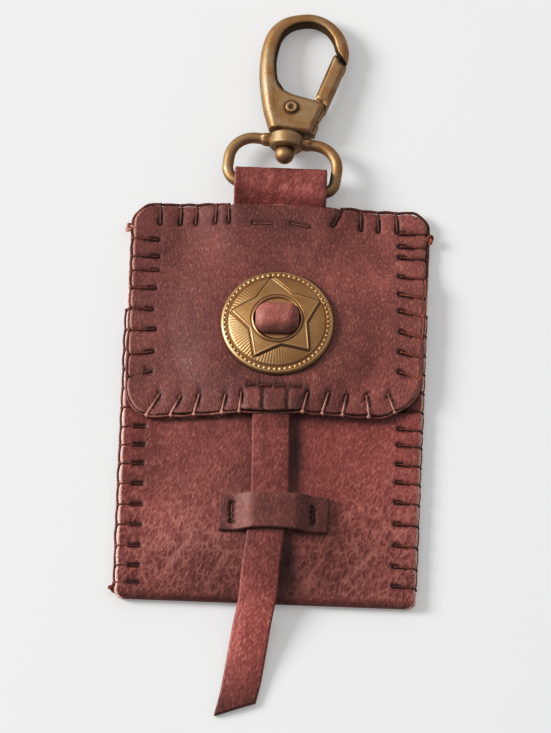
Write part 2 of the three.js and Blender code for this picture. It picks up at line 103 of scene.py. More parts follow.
def ease(value, low, high):
    """A ramp with soft ends that climbs more evenly than a smooth step."""
    share = np.clip((value - low) / (high - low), 0, 1)
    return 0.5 * share + 0.5 * smooth(share, 0, 1)


def lerp(start, end, share):
    return start + (end - start) * share


def bell(distance, width):
    return np.exp(-((distance / width) ** 2))


def ripple(x, y, size, seed):
    """Smooth unevenness between about -1 and 1, with humps of about the given size."""
    dice = np.random.default_rng(seed)
    total = 0
    for turn, phase, share in dice.uniform(0, 1, (7, 3)):
        wave = 2 * math.pi / (size * (0.7 + 0.7 * share))
        along = x * math.cos(turn * math.tau) + y * math.sin(turn * math.tau)
        total = total + np.sin(along * wave + phase * math.tau)
    return total / 4


def spline(rows, count):
    """Points on a smooth curve through the rows."""
    rows = np.asarray(rows, float)
    ends = np.vstack([2 * rows[0] - rows[1], rows, 2 * rows[-1] - rows[-2]])
    at = np.linspace(0, len(rows) - 1, count)
    index = np.minimum(at.astype(int), len(rows) - 2)
    t = (at - index)[:, None]
    p0, p1, p2, p3 = (ends[index + step] for step in range(4))
    cubic = (3 * p1 - p0 - 3 * p2 + p3) * t**3
    return 0.5 * (2 * p1 + (p2 - p0) * t + (2 * p0 - 5 * p1 + 4 * p2 - p3) * t**2 + cubic)


def run_along(points):
    """How far along a line each of its points lies."""
    return np.concatenate([[0], np.cumsum(np.linalg.norm(np.diff(points, axis=0), axis=1))])


def rows_at(at, places, rows):
    """Rows of numbers read between the places where they are given."""
    return np.stack([np.interp(at, places, rows[:, k]) for k in range(rows.shape[1])], -1)


def even(points, step):
    """The same line with points a step apart."""
    points = np.asarray(points, float)
    run = run_along(points)
    return rows_at(np.linspace(0, run[-1], max(2, int(round(run[-1] / step)) + 1)), run, points)


def unit(vectors):
    vectors = np.asarray(vectors, float)
    return vectors / np.maximum(np.linalg.norm(vectors, axis=-1, keepdims=True), 1e-9)


# Mesh helpers
def grid_faces(rows, cols, start=0):
    index = start + np.arange(rows * cols).reshape(rows, cols)
    corners = [index[:-1, :-1], index[:-1, 1:], index[1:, 1:], index[1:, :-1]]
    return np.stack(corners, -1).reshape(-1, 4)


def ring_faces(rings, sides):
    """Quads of a tube made of closed rings."""
    index = np.arange(rings * sides).reshape(rings, sides)
    after = np.roll(index, -1, 1)
    corners = [index[:-1], after[:-1], after[1:], index[1:]]
    return np.stack(corners, -1).reshape(-1, 4)


def capped(rings, tip, tail):
    """Points and faces of a tube of closed rings, with a fan of triangles on each end."""
    count, sides = rings.shape[:2]
    around = np.arange(sides)
    after = np.roll(around, -1)
    last = (count - 1) * sides
    near, far = (np.full(sides, count * sides + k) for k in range(2))
    caps = [np.stack([after, around, near, near], 1), np.stack([last + around, last + after, far, far], 1)]
    return np.vstack([rings.reshape(-1, 3), [tip], [tail]]), np.vstack([ring_faces(count, sides), *caps])


def signed_volume(verts, faces):
    a, b, c, d = (verts[faces[:, k]] for k in range(4))
    first = np.einsum("ij,ij->i", a, np.cross(b, c))
    return first.sum() + np.einsum("ij,ij->i", a, np.cross(c, d)).sum()


def add_layers(mesh, layers):
    """Writes values for the materials at each point of a mesh."""
    for key, values in layers.items():
        layer = mesh.attributes.new(key, "FLOAT", "POINT")
        layer.data.foreach_set("value", np.asarray(values, np.float32))


def add_object(name, data):
    piece = bpy.data.objects.new(name, data)
    bpy.context.scene.collection.objects.link(piece)
    return piece


def make_object(name, verts, faces, layers=None, material=None):
    """A smooth closed mesh in metres from millimetre points, its faces turned outwards."""
    verts = np.asarray(verts, float)
    faces = np.asarray(faces, int)
    if signed_volume(verts, faces) < 0:
        faces = faces[:, ::-1]
    loops = [face[:3] if face[3] == face[2] else face for face in faces.tolist()]
    mesh = bpy.data.meshes.new(name)
    mesh.from_pydata((verts * MM).tolist(), [], loops)
    add_layers(mesh, layers or {})
    mesh.shade_smooth()
    if material:
        mesh.materials.append(material)
    return add_object(name, mesh)


def settle(piece, body, nodes=()):
    """Ties a piece to its body and hides the solids that it stands for."""
    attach(piece, body)
    if nodes:
        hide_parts(*nodes)
    return piece


def border_loop(rows, cols):
    index = np.arange(rows * cols).reshape(rows, cols)
    sides = [index[0, :], index[1:, -1], index[-1, -2::-1], index[-2:0:-1, 0]]
    return np.concatenate(sides)


def outward_at_border(grid):
    """Direction out of the sheet at each point of its border."""
    out = np.zeros_like(grid)
    out[0] += unit(grid[0] - grid[1])
    out[-1] += unit(grid[-1] - grid[-2])
    out[:, 0] += unit(grid[:, 0] - grid[:, 1])
    out[:, -1] += unit(grid[:, -1] - grid[:, -2])
    return unit(out)


def make_sheet(name, outer, inner, material, layers, bulge=RIM_BULGE, raw=0.9):
    """A sheet of leather between two grids of points, with a rounded raw edge all round."""
    rows, cols, _ = outer.shape
    loop = border_loop(rows, cols)
    flat_outer = outer.reshape(-1, 3)
    flat_inner = inner.reshape(-1, 3)
    count = len(flat_outer)
    out = outward_at_border((outer + inner) / 2).reshape(-1, 3)[loop]
    rims = []
    lines = [loop]
    for step in range(RIM_STEPS):
        share = (step + 1) / (RIM_STEPS + 1)
        across = lerp(flat_outer[loop], flat_inner[loop], share)
        rims.append(across + out * bulge * math.sin(math.pi * share))
        lines.append(2 * count + step * len(loop) + np.arange(len(loop)))
    lines.append(count + loop)
    verts = np.vstack([flat_outer, flat_inner, *rims])
    strips = []
    for near, far in zip(lines, lines[1:]):
        strips.append(np.stack([near, far, np.roll(far, -1), np.roll(near, -1)], 1))
    faces = np.vstack([grid_faces(rows, cols), grid_faces(rows, cols, count)[:, ::-1], *strips])
    edge = np.zeros(len(verts))
    edge[2 * count:] = raw
    edge[loop] = 0.25 * raw
    edge[count + loop] = 0.6 * raw
    values = {"edge": edge}
    for key, grid in layers.items():
        flat = np.asarray(grid, float).reshape(-1)
        values[key] = np.concatenate([flat, flat] + [flat[loop]] * RIM_STEPS)
    return make_object(name, verts, faces, values, material)


def leather_layers(tone, dark=0, coarse=0, pale=0):
    """The values that the leather reads at each point; a single number holds all over."""
    values = {"dark": dark, "coarse": coarse, "pale": pale, "tone": tone}
    return {key: np.broadcast_to(value, tone.shape) for key, value in values.items()}


def tube(points, radius, sides=8, twist=PLY_PITCH, relief=0.14):
    """A closed tube, with the lay of a two-ply thread on it unless its twist is 0."""
    points = np.asarray(points, float)
    tangent = unit(np.gradient(points, axis=0))
    widths = np.broadcast_to(radius, len(points))
    angles = np.linspace(0, math.tau, sides, endpoint=False)
    side = unit(np.cross(tangent[0], (0.31, 0.17, 0.94)))
    rings = []
    for at, way, run, width in zip(points, tangent, run_along(points), widths):
        side = unit(side - way * np.dot(side, way))
        lay = 1 + relief * np.cos(2 * (angles - math.tau * run / twist)) if twist else np.ones(sides)
        ring = at + np.outer(width * lay * np.cos(angles), side)
        rings.append(ring + np.outer(width * lay * np.sin(angles), np.cross(way, side)))
    return capped(np.array(rings), points[0], points[-1])


def turned(faces):
    """Faces the other way round; a triangle keeps its doubled last corner."""
    flipped = faces[:, ::-1].copy()
    three = faces[:, 3] == faces[:, 2]
    flipped[three] = faces[three][:, [1, 0, 2, 2]]
    return flipped


def join_shells(shells):
    """Several closed shells as one list of points and faces, each turned outwards."""
    all_verts = []
    all_faces = []
    start = 0
    for verts, faces in shells:
        if signed_volume(verts, faces) < 0:
            faces = turned(faces)
        all_verts.append(verts)
        all_faces.append(faces + start)
        start += len(verts)
    return np.vstack(all_verts), np.vstack(all_faces)


# Outlines of the leather panels
class Outline:
    """A rectangle with a radius of its own at each corner."""

    def __init__(self, width, low, high, low_left, low_right, high_left, high_right):
        self.half = width / 2
        self.low = low
        self.high = high
        self.low_r = {-1: low_left, 1: low_right}
        self.high_r = {-1: high_left, 1: high_right}

    def depth(self, x, y):
        """How far a point lies inside the edge."""
        tall = (self.high - self.low) / 2
        dy = y - (self.high + self.low) / 2
        left = np.where(dy < 0, self.low_r[-1], self.high_r[-1])
        right = np.where(dy < 0, self.low_r[1], self.high_r[1])
        radius = np.where(x < 0, left, right)
        qx = np.abs(x) - self.half + radius
        qy = np.abs(dy) - tall + radius
        outside = np.hypot(np.maximum(qx, 0), np.maximum(qy, 0))
        return radius - outside - np.minimum(np.maximum(qx, qy), 0)

    def reach(self, y, side):
        """Distance from the middle to the edge on one side."""
        inset = 0
        for radius, into in ((self.low_r[side], self.low - y), (self.high_r[side], y - self.high)):
            rise = np.clip(into + radius, 0, radius)
            inset = inset + radius - np.sqrt(radius**2 - rise**2)
        return self.half - inset

    def across(self, shares, y):
        """Places across each row, from -1 at the left edge to 1 at the right edge."""
        left = self.reach(y, -1)[:, None]
        right = self.reach(y, 1)[:, None]
        return np.where(shares < 0, shares * left, shares * right)

    def rows(self, step, corner_steps=12):
        """Heights of the rows of points, closer together at the corners."""
        low_r = max(self.low_r.values())
        high_r = max(self.high_r.values())
        arc = 1 - np.cos(np.linspace(0, math.pi / 2, corner_steps + 1))
        start, end = self.low + low_r, self.high - high_r
        middle = np.linspace(start, end, int((end - start) / step) + 2)
        return np.concatenate([self.low + low_r * arc, middle[1:-1], (self.high - high_r * arc)[::-1]])

    def beside(self, point, off):
        """The point beside the outline, at a distance off it, that lies nearest to a point."""
        at = np.array(point, float)
        step = 0.01
        for _ in range(4):
            depth = float(self.depth(at[0], at[1]))
            out_x = depth - float(self.depth(at[0] + step, at[1]))
            out_y = depth - float(self.depth(at[0], at[1] + step))
            at = at + unit((out_x, out_y)) * (depth + off)
        return at

    def edge_from(self, hole, towards):
        """Where a line from a hole towards a point meets the edge."""
        way = unit(np.asarray(towards, float) - hole)
        at = hole
        for _ in range(40):
            at = at + way * max(float(self.depth(at[0], at[1])), 0) * 0.8
        return at


POUCH = Outline(WIDTH - 2 * EDGE_INSET, BOTTOM_Y, TOP_Y, 2, 2, 5, 4)
FLAP = Outline(FLAP_WIDTH - 2 * EDGE_INSET, FLAP_LOW_Y + EDGE_INSET, TOP_Y + 0.3, 7, 12, 5, 4)


def columns(width, margin=8, fine=0.38, coarse=0.75):
    """Shares across a panel, closer together in the sewn margins."""
    half = width / 2
    inner = np.linspace(0, half - margin, int((half - margin) / coarse) + 2)
    outer = np.linspace(half - margin, half, int(margin / fine) + 2)[1:]
    right = np.concatenate([inner, outer]) / half
    return np.concatenate([-right[:0:-1], right])


# Heights of the leather
def front_top(x, y):
    from_side = WIDTH / 2 - np.abs(x)
    swell = ease(from_side, SEWN_MARGIN, SEWN_MARGIN + SIDE_RISE)
    swell = swell * smooth(y - BOTTOM_Y, BOTTOM_FLAT, BOTTOM_FLAT + BOTTOM_RISE)
    return LEATHER + GAP + (POCKET_DEPTH - GAP) * swell + LEATHER


# The flap's underside along its middle: y and z
FLAP_CROWN = [(-10.6, 7.35), (-4.6, 7.55), (8, 8.75), (20, 7.75)]
FLAP_CROWN += [(34, 6.7), (45.5, 5.25), (51.5, 5.2), (57.5, 5.15)]
CROWN_LINE = spline(FLAP_CROWN, 300)
OVER_STRAP_Z = 9.1


def flap_under(x, y):
    side = np.abs(x)
    towards_top = smooth(y, 30, 45.5)
    flat_half = lerp(6, 11, towards_top)
    fall_end = lerp(35.2, 24, towards_top)
    edge = lerp(2.9, 1.3, smooth(y, 29, 39.5)) + GAP
    dome = 1 - ease(side, flat_half, fall_end)
    crown = lerp(edge, np.interp(y, CROWN_LINE[:, 0], CROWN_LINE[:, 1]), dome)
    over_strap = (1 - smooth(side, 5.6, 9.3)) * (1 - smooth(y, 6, 10))
    crown = crown + over_strap * np.maximum(OVER_STRAP_Z - crown, 0)
    away = np.hypot(x - CONCHO_AT[0], y - CONCHO_AT[1])
    seat = 1 - ease(away, CONCHO_SEAT["inner"], CONCHO_SEAT["outer"])
    level = CONCHO_AT[2] - CONCHO_SEAT["drop"] + math.tan(CONCHO_TILT) * (y - CONCHO_AT[1])
    return lerp(crown, np.maximum(crown, level), seat)


def low_edge(y):
    return 1 - smooth(y, FLAP_LOW_Y, FLAP_LOW_Y + FLAP_SKEW_REACH)


def flap_wave(x, y):
    """How far the flap rises and falls with wear, and flutes along its low edge."""
    wave = 0.08 * ripple(x, y, 15, 9) * smooth(FLAP.depth(x, y), 1, 9)
    flute = 0.22 * low_edge(y) * ripple(x, y * 0.1, 9, 12)
    return wave + np.maximum(flute, -0.15)


def flap_drop(x, y):
    """How far the flap's low edge hangs askew."""
    return FLAP_SKEW * x * low_edge(y)


# Stitches: where the thread goes into the leather, and the point of the edge that it runs towards
POUCH_LEFT_Y = [24, 18.7, 13.6, 8.4, 3.2, -2, -7.2, -12, -17, -22.3, -27.8, -33.1, -38.7, -43.9, -48.4]
POUCH_RIGHT_Y = [25.6, 20.4, 15.2, 10.2, 5.1, 0, -5.1, -9.4, -14.5, -19.3, -24.6, -30.3, -36, -41.6, -46.8]
POUCH_HOLE_X = 31.8
FLAP_LEFT_ROWS = [(-30.6, 29.2, 29.2), (-31.2, 23.5, 24.2), (-30.2, 18.2, 17.8)]
FLAP_LEFT_ROWS += [(-30.6, 12.2, 10.8), (-30.7, 7.1, 4.5)]
FLAP_RIGHT_ROWS = [(30.6, 29.9, 28.9), (30.8, 25.5, 23.8), (31.3, 20, 17.7)]
FLAP_RIGHT_ROWS += [(31.3, 14.6, 12.7), (31.3, 9.3, 6.6)]
TOP_LEFT_ROWS = [(-30.4, 42.8, 43.3), (-30.2, 38.3, 38.3), (-30.1, 34.4, 34.2)]
TOP_RIGHT_ROWS = [(30, 46.9, 46.9), (30.1, 43.4, 43), (30.2, 40.5, 39.8), (30.4, 35.1, 34.3)]
TOP_LEFT_X = [(-30.1, -30.3), (-25.1, -24.9), (-21.2, -21), (-16.3, -16.1), (-12.9, -13.2)]
TOP_RIGHT_X = [(13.2, 15.6), (20.2, 20), (24.6, 24.3), (29.3, 28.8)]
TOP_HOLE_Y = 47.2
FLAP_LOW_ROWS = [(-28.4, 1, -32.4), (-23, 0.6, -26.1), (-18.4, 0.7, -19.9), (-11.8, 0.2, -12.9)]
FLAP_LOW_ROWS += [(-7.8, 0.7, -8.4), (8.6, 1, 7.2), (13.8, 1.4, 12.1), (18.3, 1.4, 17.3)]
FLAP_LOW_ROWS += [(23.3, 2, 24.3), (28.6, 3.2, 31.4)]
FAR_X = 40


def stitch(outline, hole, towards, sunk):
    """A stitch: its hole, its place on the edge and how far the thread sinks into the leather."""
    hole = np.array(hole, float)
    return hole, outline.edge_from(hole, towards), sunk


def side_stitches(outline, rows, sunk):
    """Stitches on a side edge: hole x, hole y and the height that the leg runs towards."""
    return [stitch(outline, (x, y), (math.copysign(FAR_X, x), edge_y), sunk) for x, y, edge_y in rows]


def top_stitches(rows):
    return [stitch(FLAP, (x, TOP_HOLE_Y), (edge_x, TOP_Y + 1), 0.35) for x, edge_x in rows]


POUCH_LEFT = side_stitches(POUCH, [(-POUCH_HOLE_X, y + 0.2, y - 0.1) for y in POUCH_LEFT_Y], sunk=1.0)
POUCH_RIGHT = side_stitches(POUCH, [(POUCH_HOLE_X, y, y - 0.7) for y in POUCH_RIGHT_Y], sunk=0.3)
TOP_LEFT = side_stitches(FLAP, TOP_LEFT_ROWS, sunk=0.4)[::-1] + top_stitches(TOP_LEFT_X)
TOP_RIGHT = top_stitches(TOP_RIGHT_X) + side_stitches(FLAP, TOP_RIGHT_ROWS, sunk=0.25)
FLAP_LEFT = side_stitches(FLAP, FLAP_LEFT_ROWS, sunk=0.4)
FLAP_RIGHT = side_stitches(FLAP, FLAP_RIGHT_ROWS, sunk=0.25)
FLAP_LOW = [stitch(FLAP, (x, y), (edge_x, FLAP_LOW_Y - 0.4), 0.25) for x, y, edge_x in FLAP_LOW_ROWS]


def as_pairs(lines):
    return [(np.array(start, float), np.array(end, float)) for start, end in lines]


# Lines by their ends: running stitches, folds of the flap over the strap's root, and creases in the front
TAB_DASHES = as_pairs([((-6.8, 46.9), (-2.1, 47)), ((2.7, 47.2), (7.4, 46.4))])
STRAP_DASHES = as_pairs([((-6.4, 2.5), (-4.6, 2.6)), ((-3.5, 2.4), (-0.5, 2.5))])
STRAP_DASHES += as_pairs([((0.6, 2.5), (3, 2.5)), ((4.2, 2.2), (7, 2.3))])
KEEPER_DASHES = as_pairs([((-9.1, -28), (-9, -32.9)), ((11, -28.6), (11.3, -32.6))])
FLAP_FOLDS = as_pairs([((-2.4, -4), (-2.5, 1.6)), ((3.8, -4), (3.6, 1.6))])
CREASES = as_pairs([((19.5, -46), (27, -37.5)), ((-27, -47), (-19, -36))])
CREASES += as_pairs([((9, -47.5), (14, -41)), ((-14.5, -48), (-10, -40))])


def along_line(x, y, start, end):
    """How far along a line each point lies, from 0 at its start to 1 at its end."""
    way = end - start
    return np.clip(((x - start[0]) * way[0] + (y - start[1]) * way[1]) / np.dot(way, way), 0, 1)


def line_distance(x, y, start, end):
    way = end - start
    share = along_line(x, y, start, end)
    return np.hypot(x - start[0] - share * way[0], y - start[1] - share * way[1])


def near_lines(x, y, lines, width):
    """How near each point lies to any of some lines, from 0 to 1 on a line."""
    near = np.zeros_like(x)
    for start, end in lines:
        near = np.maximum(near, bell(line_distance(x, y, start, end), width))
    return near


def slot_side(way):
    """The side of a stitch on which its slot and its painted shadow show: below a level one, to the right of
    an upright one, away from the key.
    """
    across = np.array([-way[1], way[0]])
    return across if across[0] - across[1] > 0 else -across


def sewn_relief(x, y, stitches, outline):
    """How far the thread sinks the leather, how far it puffs up between, and where shade is painted in its
    holes, along its legs and in the slots beside them.
    """
    sink = np.zeros_like(x)
    near = np.full_like(x, 99.0)
    dark = np.zeros_like(x)
    for hole, edge, sunk in stitches:
        way = unit(edge - hole)
        beside = SLOT_SHIFT * (1 - sunk) * slot_side(way)
        away = line_distance(x, y, hole, edge + way * 0.6)
        slot = line_distance(x, y, hole + beside, lerp(hole, edge, 0.6) + beside)
        near = np.minimum(near, away)
        along = along_line(x, y, hole, edge)
        open_end = 1 - smooth(along, lerp(0.12, 0.42, sunk), lerp(0.4, 0.72, sunk))
        pit = bell(away, lerp(0.25, HOLE_R, open_end)) * open_end
        sink = np.maximum(sink, LEG_DENT * bell(away, LEG_DENT_WIDTH))
        sink = np.maximum(sink, HOLE_DENT * np.maximum(pit, (1 - sunk) * bell(slot, LEG_DENT_WIDTH)))
        # Painted shade along each leg, in the slot on its shadow side and in its hole.
        line = np.maximum((1 - sunk) * bell(slot, 0.5), lerp(0.48, 0.15, sunk) * bell(away, 0.4))
        dark = np.maximum(dark, np.maximum(line, smooth(pit, 0.12, 0.6)))
    puff = PUFF * (1 - bell(near, 1.7)) * bell(outline.depth(x, y) - 3, 3)
    return sink, puff, dark


def dash_relief(x, y, dashes, sink_depth=0.6, width=0.45):
    """How far running stitches sink the leather, and where shade is painted in their grooves and holes."""
    sink = np.zeros_like(x)
    for start, end in dashes:
        sink = np.maximum(sink, sink_depth * bell(line_distance(x, y, start, end), width))
        for hole in (start, end):
            sink = np.maximum(sink, 0.7 * bell(np.hypot(x - hole[0], y - hole[1]), 0.42))
    return sink, np.minimum(sink / sink_depth, 1)


def pull_in(x, y, stitches):
    """Draws the edge in where each stitch grips it."""
    for hole, edge, _ in stitches:
        way = unit(hole - edge)
        grip = EDGE_PULL * bell(np.hypot(x - edge[0], y - edge[1]), 1.0)
        x = x + way[0] * grip
        y = y + way[1] * grip
    return x, y


# Leather pieces
def tone_and_light_patches(x, y, patches):
    """Lighter and darker patches in the colour, many of them painted light and shade: each patch has a
    middle, two reaches and a strength.
    """
    tone = np.zeros_like(x)
    for at_x, at_y, reach_x, reach_y, strength in patches:
        tone = tone + strength * np.exp(-(((x - at_x) / reach_x) ** 2) - ((y - at_y) / reach_y) ** 2)
    return tone


# Flap patches: the right side lightened and the left darkened is painted light that evens out the key's
# shading of the dome; the lighter patches below right of the concho are a painted sheen; where the flap
# bulges over the strap, its left side is painted lit and its right side painted shaded; the rest are darker
# and lighter areas.
FLAP_TONE_AND_PAINTED_LIGHT = [(-1, 49, 15, 6, -0.3), (-14, 40, 5, 8, 0.15), (-13, 5, 8, 6, -0.15), (11, 5, 4, 4, 0.3)]
FLAP_TONE_AND_PAINTED_LIGHT += [(-27, 22, 14, 50, -0.16), (26, 22, 15, 50, 1.0), (13, 12, 9, 8, 0.25), (-30, 42, 6, 7, -0.15)]
FLAP_TONE_AND_PAINTED_LIGHT += [(0, 2, 3.5, 7, -0.2), (-4.6, -1, 1.6, 3.2, 0.4), (6, -1, 1.9, 3.5, -0.5)]
# Front patches: two narrow dark bands beside the strap's right side are its painted shadow; a dark band along
# the bottom is painted shade on the fold; the right side lightened and the left darkened is painted light
# that evens out the key's shading; the rest are darker and lighter areas of the leather.
FRONT_TONE_AND_PAINTED_LIGHT = [(-27, -30, 10, 9, 0.2), (-12, -47, 10, 9, -0.3), (-7, -20, 3.5, 22, -0.25)]
FRONT_TONE_AND_PAINTED_LIGHT += [(19, -12, 13, 11, 0.15), (21, -43, 14, 10, -0.55), (0, -52, 60, 3, -0.3)]
FRONT_TONE_AND_PAINTED_LIGHT += [(6.2, -14, 1.6, 11, -1.2), (5.2, -42, 1.6, 6, -1.1)]
FRONT_TONE_AND_PAINTED_LIGHT += [(24, -22, 14, 40, 0.55), (-26, -20, 14, 40, -0.1)]
# Strap patches, all painted light: a painted sheen where the strap bends down off the pouch, painted shade on
# its tip as it slopes to the floor and just below the keeper.
STRAP_PAINTED_LIGHT = [(-3.5, -60, 20, 11, 1.3), (-7, -82, 20, 8, -0.75), (-0.5, -39, 20, 4, -0.25)]
# Keeper patches: the darker right half and right end are painted shade on the side of the arch away from the
# key; the rest are darker spots and a darker left end.
KEEPER_TONE_AND_PAINTED_SHADE = [(0, -30.5, 4.5, 9, -0.2), (-6.2, -30.5, 2.6, 8, -0.1), (7, -30.5, 5, 9, -0.3)]
KEEPER_TONE_AND_PAINTED_SHADE += [(15, -30.5, 2.5, 9, -0.3), (-11.5, -30.5, 2, 9, -0.25)]
# Tab patches: the lighter band at its low end is painted light that offsets the shade where the tab meets the
# flap; the rest make it lighter over the fold and darker along both sides.
TAB_TONE_AND_PAINTED_LIGHT = [(0, 53, 30, 3, 0.55), (0, 58, 30, 6, 0.25), (-11, 56, 2, 9, -0.2), (11, 56, 2.4, 9, -0.2)]


def make_pouch(material):
    """One piece of leather: the back, the fold at the bottom and the front up to the pocket's mouth."""
    shares = columns(WIDTH, fine=0.3)
    fold_y = BOTTOM_Y + FOLD_R
    back_y = np.array([y for y in POUCH.rows(0.95)[::-1] if y > fold_y + 0.1])
    turns = np.linspace(0, math.pi, FOLD_ROWS)
    low_y = np.arange(fold_y + 0.3, fold_y + 4, 0.35)
    front_y = np.concatenate([low_y, np.linspace(fold_y + 4, MOUTH_Y, FRONT_ROWS)])
    outer_y, inner_y = (
        np.concatenate([back_y, fold_y - radius * np.sin(turns), front_y]) for radius in (FOLD_R, GAP / 2)
    )
    x = POUCH.across(shares[None, :], outer_y)
    y, inner_y = (np.repeat(rows[:, None], len(shares), 1) for rows in (outer_y, inner_y))
    back = slice(0, len(back_y))
    fold = slice(back.stop, back.stop + len(turns))
    front = slice(fold.stop, None)
    sides = POUCH_LEFT + POUCH_RIGHT
    sink, puff, dark = sewn_relief(x, y, sides, POUCH)
    back_sink, _, back_dark = sewn_relief(x, y, sides + TOP_LEFT + TOP_RIGHT, POUCH)
    outer_z = np.zeros_like(x)
    inner_z = np.full_like(x, LEATHER)
    outer_z[fold] = (FOLD_R - FOLD_R * np.cos(turns))[:, None]
    inner_z[fold] = (FOLD_R - GAP / 2 * np.cos(turns))[:, None]
    at = (x[front], y[front])
    top = front_top(*at)
    wave = 0.12 * ripple(*at, 17, 5) * smooth(POUCH.depth(*at), 2, 12)
    pale = np.zeros_like(x)
    pale[front] = near_lines(*at, CREASES, 0.55)
    ends = smooth(at[1], BOTTOM_Y + 2, BOTTOM_Y + 7)
    outer_z[front] = top - (sink - puff)[front] * ends + wave - 0.16 * pale[front]
    inner_z[front] = top - LEATHER - 0.25 * sink[front] * ends + wave
    outer_z[back] = 0.8 * back_sink[back]
    x, y = pull_in(x, y, sides)
    dark[back] = back_dark[back]
    dark[fold] = 0
    coarse = np.full_like(x, 0.35)
    coarse[front] = 0.12 + 0.88 * smooth(-y[front] + 0.18 * np.abs(x[front] + 6), 12, 44)
    tone = tone_and_light_patches(x, y, FRONT_TONE_AND_PAINTED_LIGHT)
    tone[back] = 0
    outer = np.stack([x, y, outer_z], -1)
    inner = np.stack([x, inner_y, inner_z], -1)
    piece = make_sheet("pouch_leather", outer, inner, material, leather_layers(tone, dark, coarse, pale))
    return settle(piece, "wallet", ["pouch"])


def make_flap(material):
    """The flap, sewn to the back at the top, that falls over the strap's root."""
    shares = columns(FLAP_WIDTH, margin=9, fine=0.3, coarse=0.45)
    row_y = FLAP.rows(0.32)
    x = FLAP.across(shares[None, :], row_y)
    y = np.repeat(row_y[:, None], len(shares), 1)
    stitches = TOP_LEFT + TOP_RIGHT + FLAP_LEFT + FLAP_LOW + FLAP_RIGHT
    sink, puff, dark = sewn_relief(x, y, stitches, FLAP)
    dash_sink, dash_dark = dash_relief(x, y, TAB_DASHES + STRAP_DASHES)
    sink = np.maximum(sink, dash_sink)
    under = flap_under(x, y) + flap_wave(x, y)
    fold = near_lines(x, y, FLAP_FOLDS, 0.5)
    outer_z = under + LEATHER - sink + puff - 0.5 * fold
    inner_z = under - 0.2 * sink
    x, y = pull_in(x, y, stitches)
    y = y + flap_drop(x, y)
    outer = np.stack([x, y, outer_z], -1)
    inner = np.stack([x, y, inner_z], -1)
    # Painted shade in the stitch holes, the dashes' grooves and the folds over the strap.
    dark = np.maximum(np.maximum(dark, dash_dark), 0.7 * fold)
    layers = leather_layers(tone_and_light_patches(x, y, FLAP_TONE_AND_PAINTED_LIGHT), dark)
    piece = make_sheet("flap_leather", outer, inner, material, layers, raw=0.5)
    return settle(piece, "wallet", ["flap"])


def strip_grids(line, half_width, thick, shares):
    """Outer and inner grids of a straight strip of leather, from the y and z of its middle line."""
    middle = np.column_stack([np.zeros(len(line)), line])
    across = np.array((1.0, 0, 0))
    normal = unit(np.cross(unit(np.gradient(middle, axis=0)), across))[:, None, :]
    base = middle[:, None, :] + half_width * shares[None, :, None] * across
    return base + normal * thick / 2, base - normal * thick / 2


def make_clip_loop(material):
    """The tab: a lower layer, a fold round the ring's bar and an upper layer drawn down to the seam."""
    middle_r = LOOP_INNER_R + LEATHER / 2
    low_z = BAR[2] - middle_r
    high_z = BAR[2] + middle_r
    seam_z = low_z + LEATHER + LOOP_PARTING["gap"]
    fold_y = LOOP_FOLD_Y - LEATHER / 2 - middle_r
    turns = np.linspace(-math.pi / 2, math.pi / 2, 25)
    fold = np.stack([fold_y + middle_r * np.cos(turns), BAR[2] + middle_r * np.sin(turns)], 1)
    drop_y = np.linspace(LOOP_PARTING["end"], LOOP_PARTING["start"], 20)
    drop_z = lerp(seam_z, high_z, smooth(drop_y, LOOP_PARTING["start"], LOOP_PARTING["end"]))
    line = np.vstack([[(LOOP_END_Y, low_z)], fold, np.stack([drop_y, drop_z], 1), [(LOOP_END_Y, seam_z)]])
    line = even(line, 0.45)
    shares = np.linspace(-1, 1, 57)
    outer, inner = strip_grids(line, LOOP_WIDTH / 2 + LOOP_SPREAD, LEATHER, shares)
    length = np.linalg.norm(np.diff(line, axis=0), axis=1).sum()
    run = np.linspace(0, length, len(line))[:, None]
    fold_end = fold_y - LOOP_END_Y + math.pi * middle_r
    slant = math.tan(CLIP_TURN) * smooth(run, fold_end - 4, fold_end + 2)
    for grid in (outer, inner):
        grid[..., 0] += LOOP_SHIFT
        grid[..., 1] += slant * grid[..., 0]
    away = 1 - np.abs(shares)[None, :]
    wear = 0.1 * ripple(outer[..., 0] * 2.2, outer[..., 1] * 0.6, 7, 21) * smooth(away, 0, 0.12)
    outer[..., 2] += wear * np.sign(outer[..., 2] - BAR[2])
    layers = leather_layers(tone_and_light_patches(outer[..., 0], outer[..., 1], TAB_TONE_AND_PAINTED_LIGHT), coarse=0.3)
    piece = make_sheet("clip_loop_leather", outer, inner, material, layers, bulge=0.25, raw=0.15)
    return settle(piece, "wallet", ["clip_loop"])


STRAP_LINE = [(0.2, 5, 7.3), (-0.2, -4.6, 7.3), (0, -14, 7.3), (0.2, -24, 7.3)]
STRAP_LINE += [(-0.1, -33, 7.3), (-0.8, -40, 6.9), (-1.4, -46, 5.8), (-1.9, -52, 4.4)]
STRAP_LINE += [(-3, -60, 2.6), (-4.2, -68, 1.1), (-5.3, -75, 0.3), (-6.2, -80, 0.1)]
STRAP_STEP = 0.25


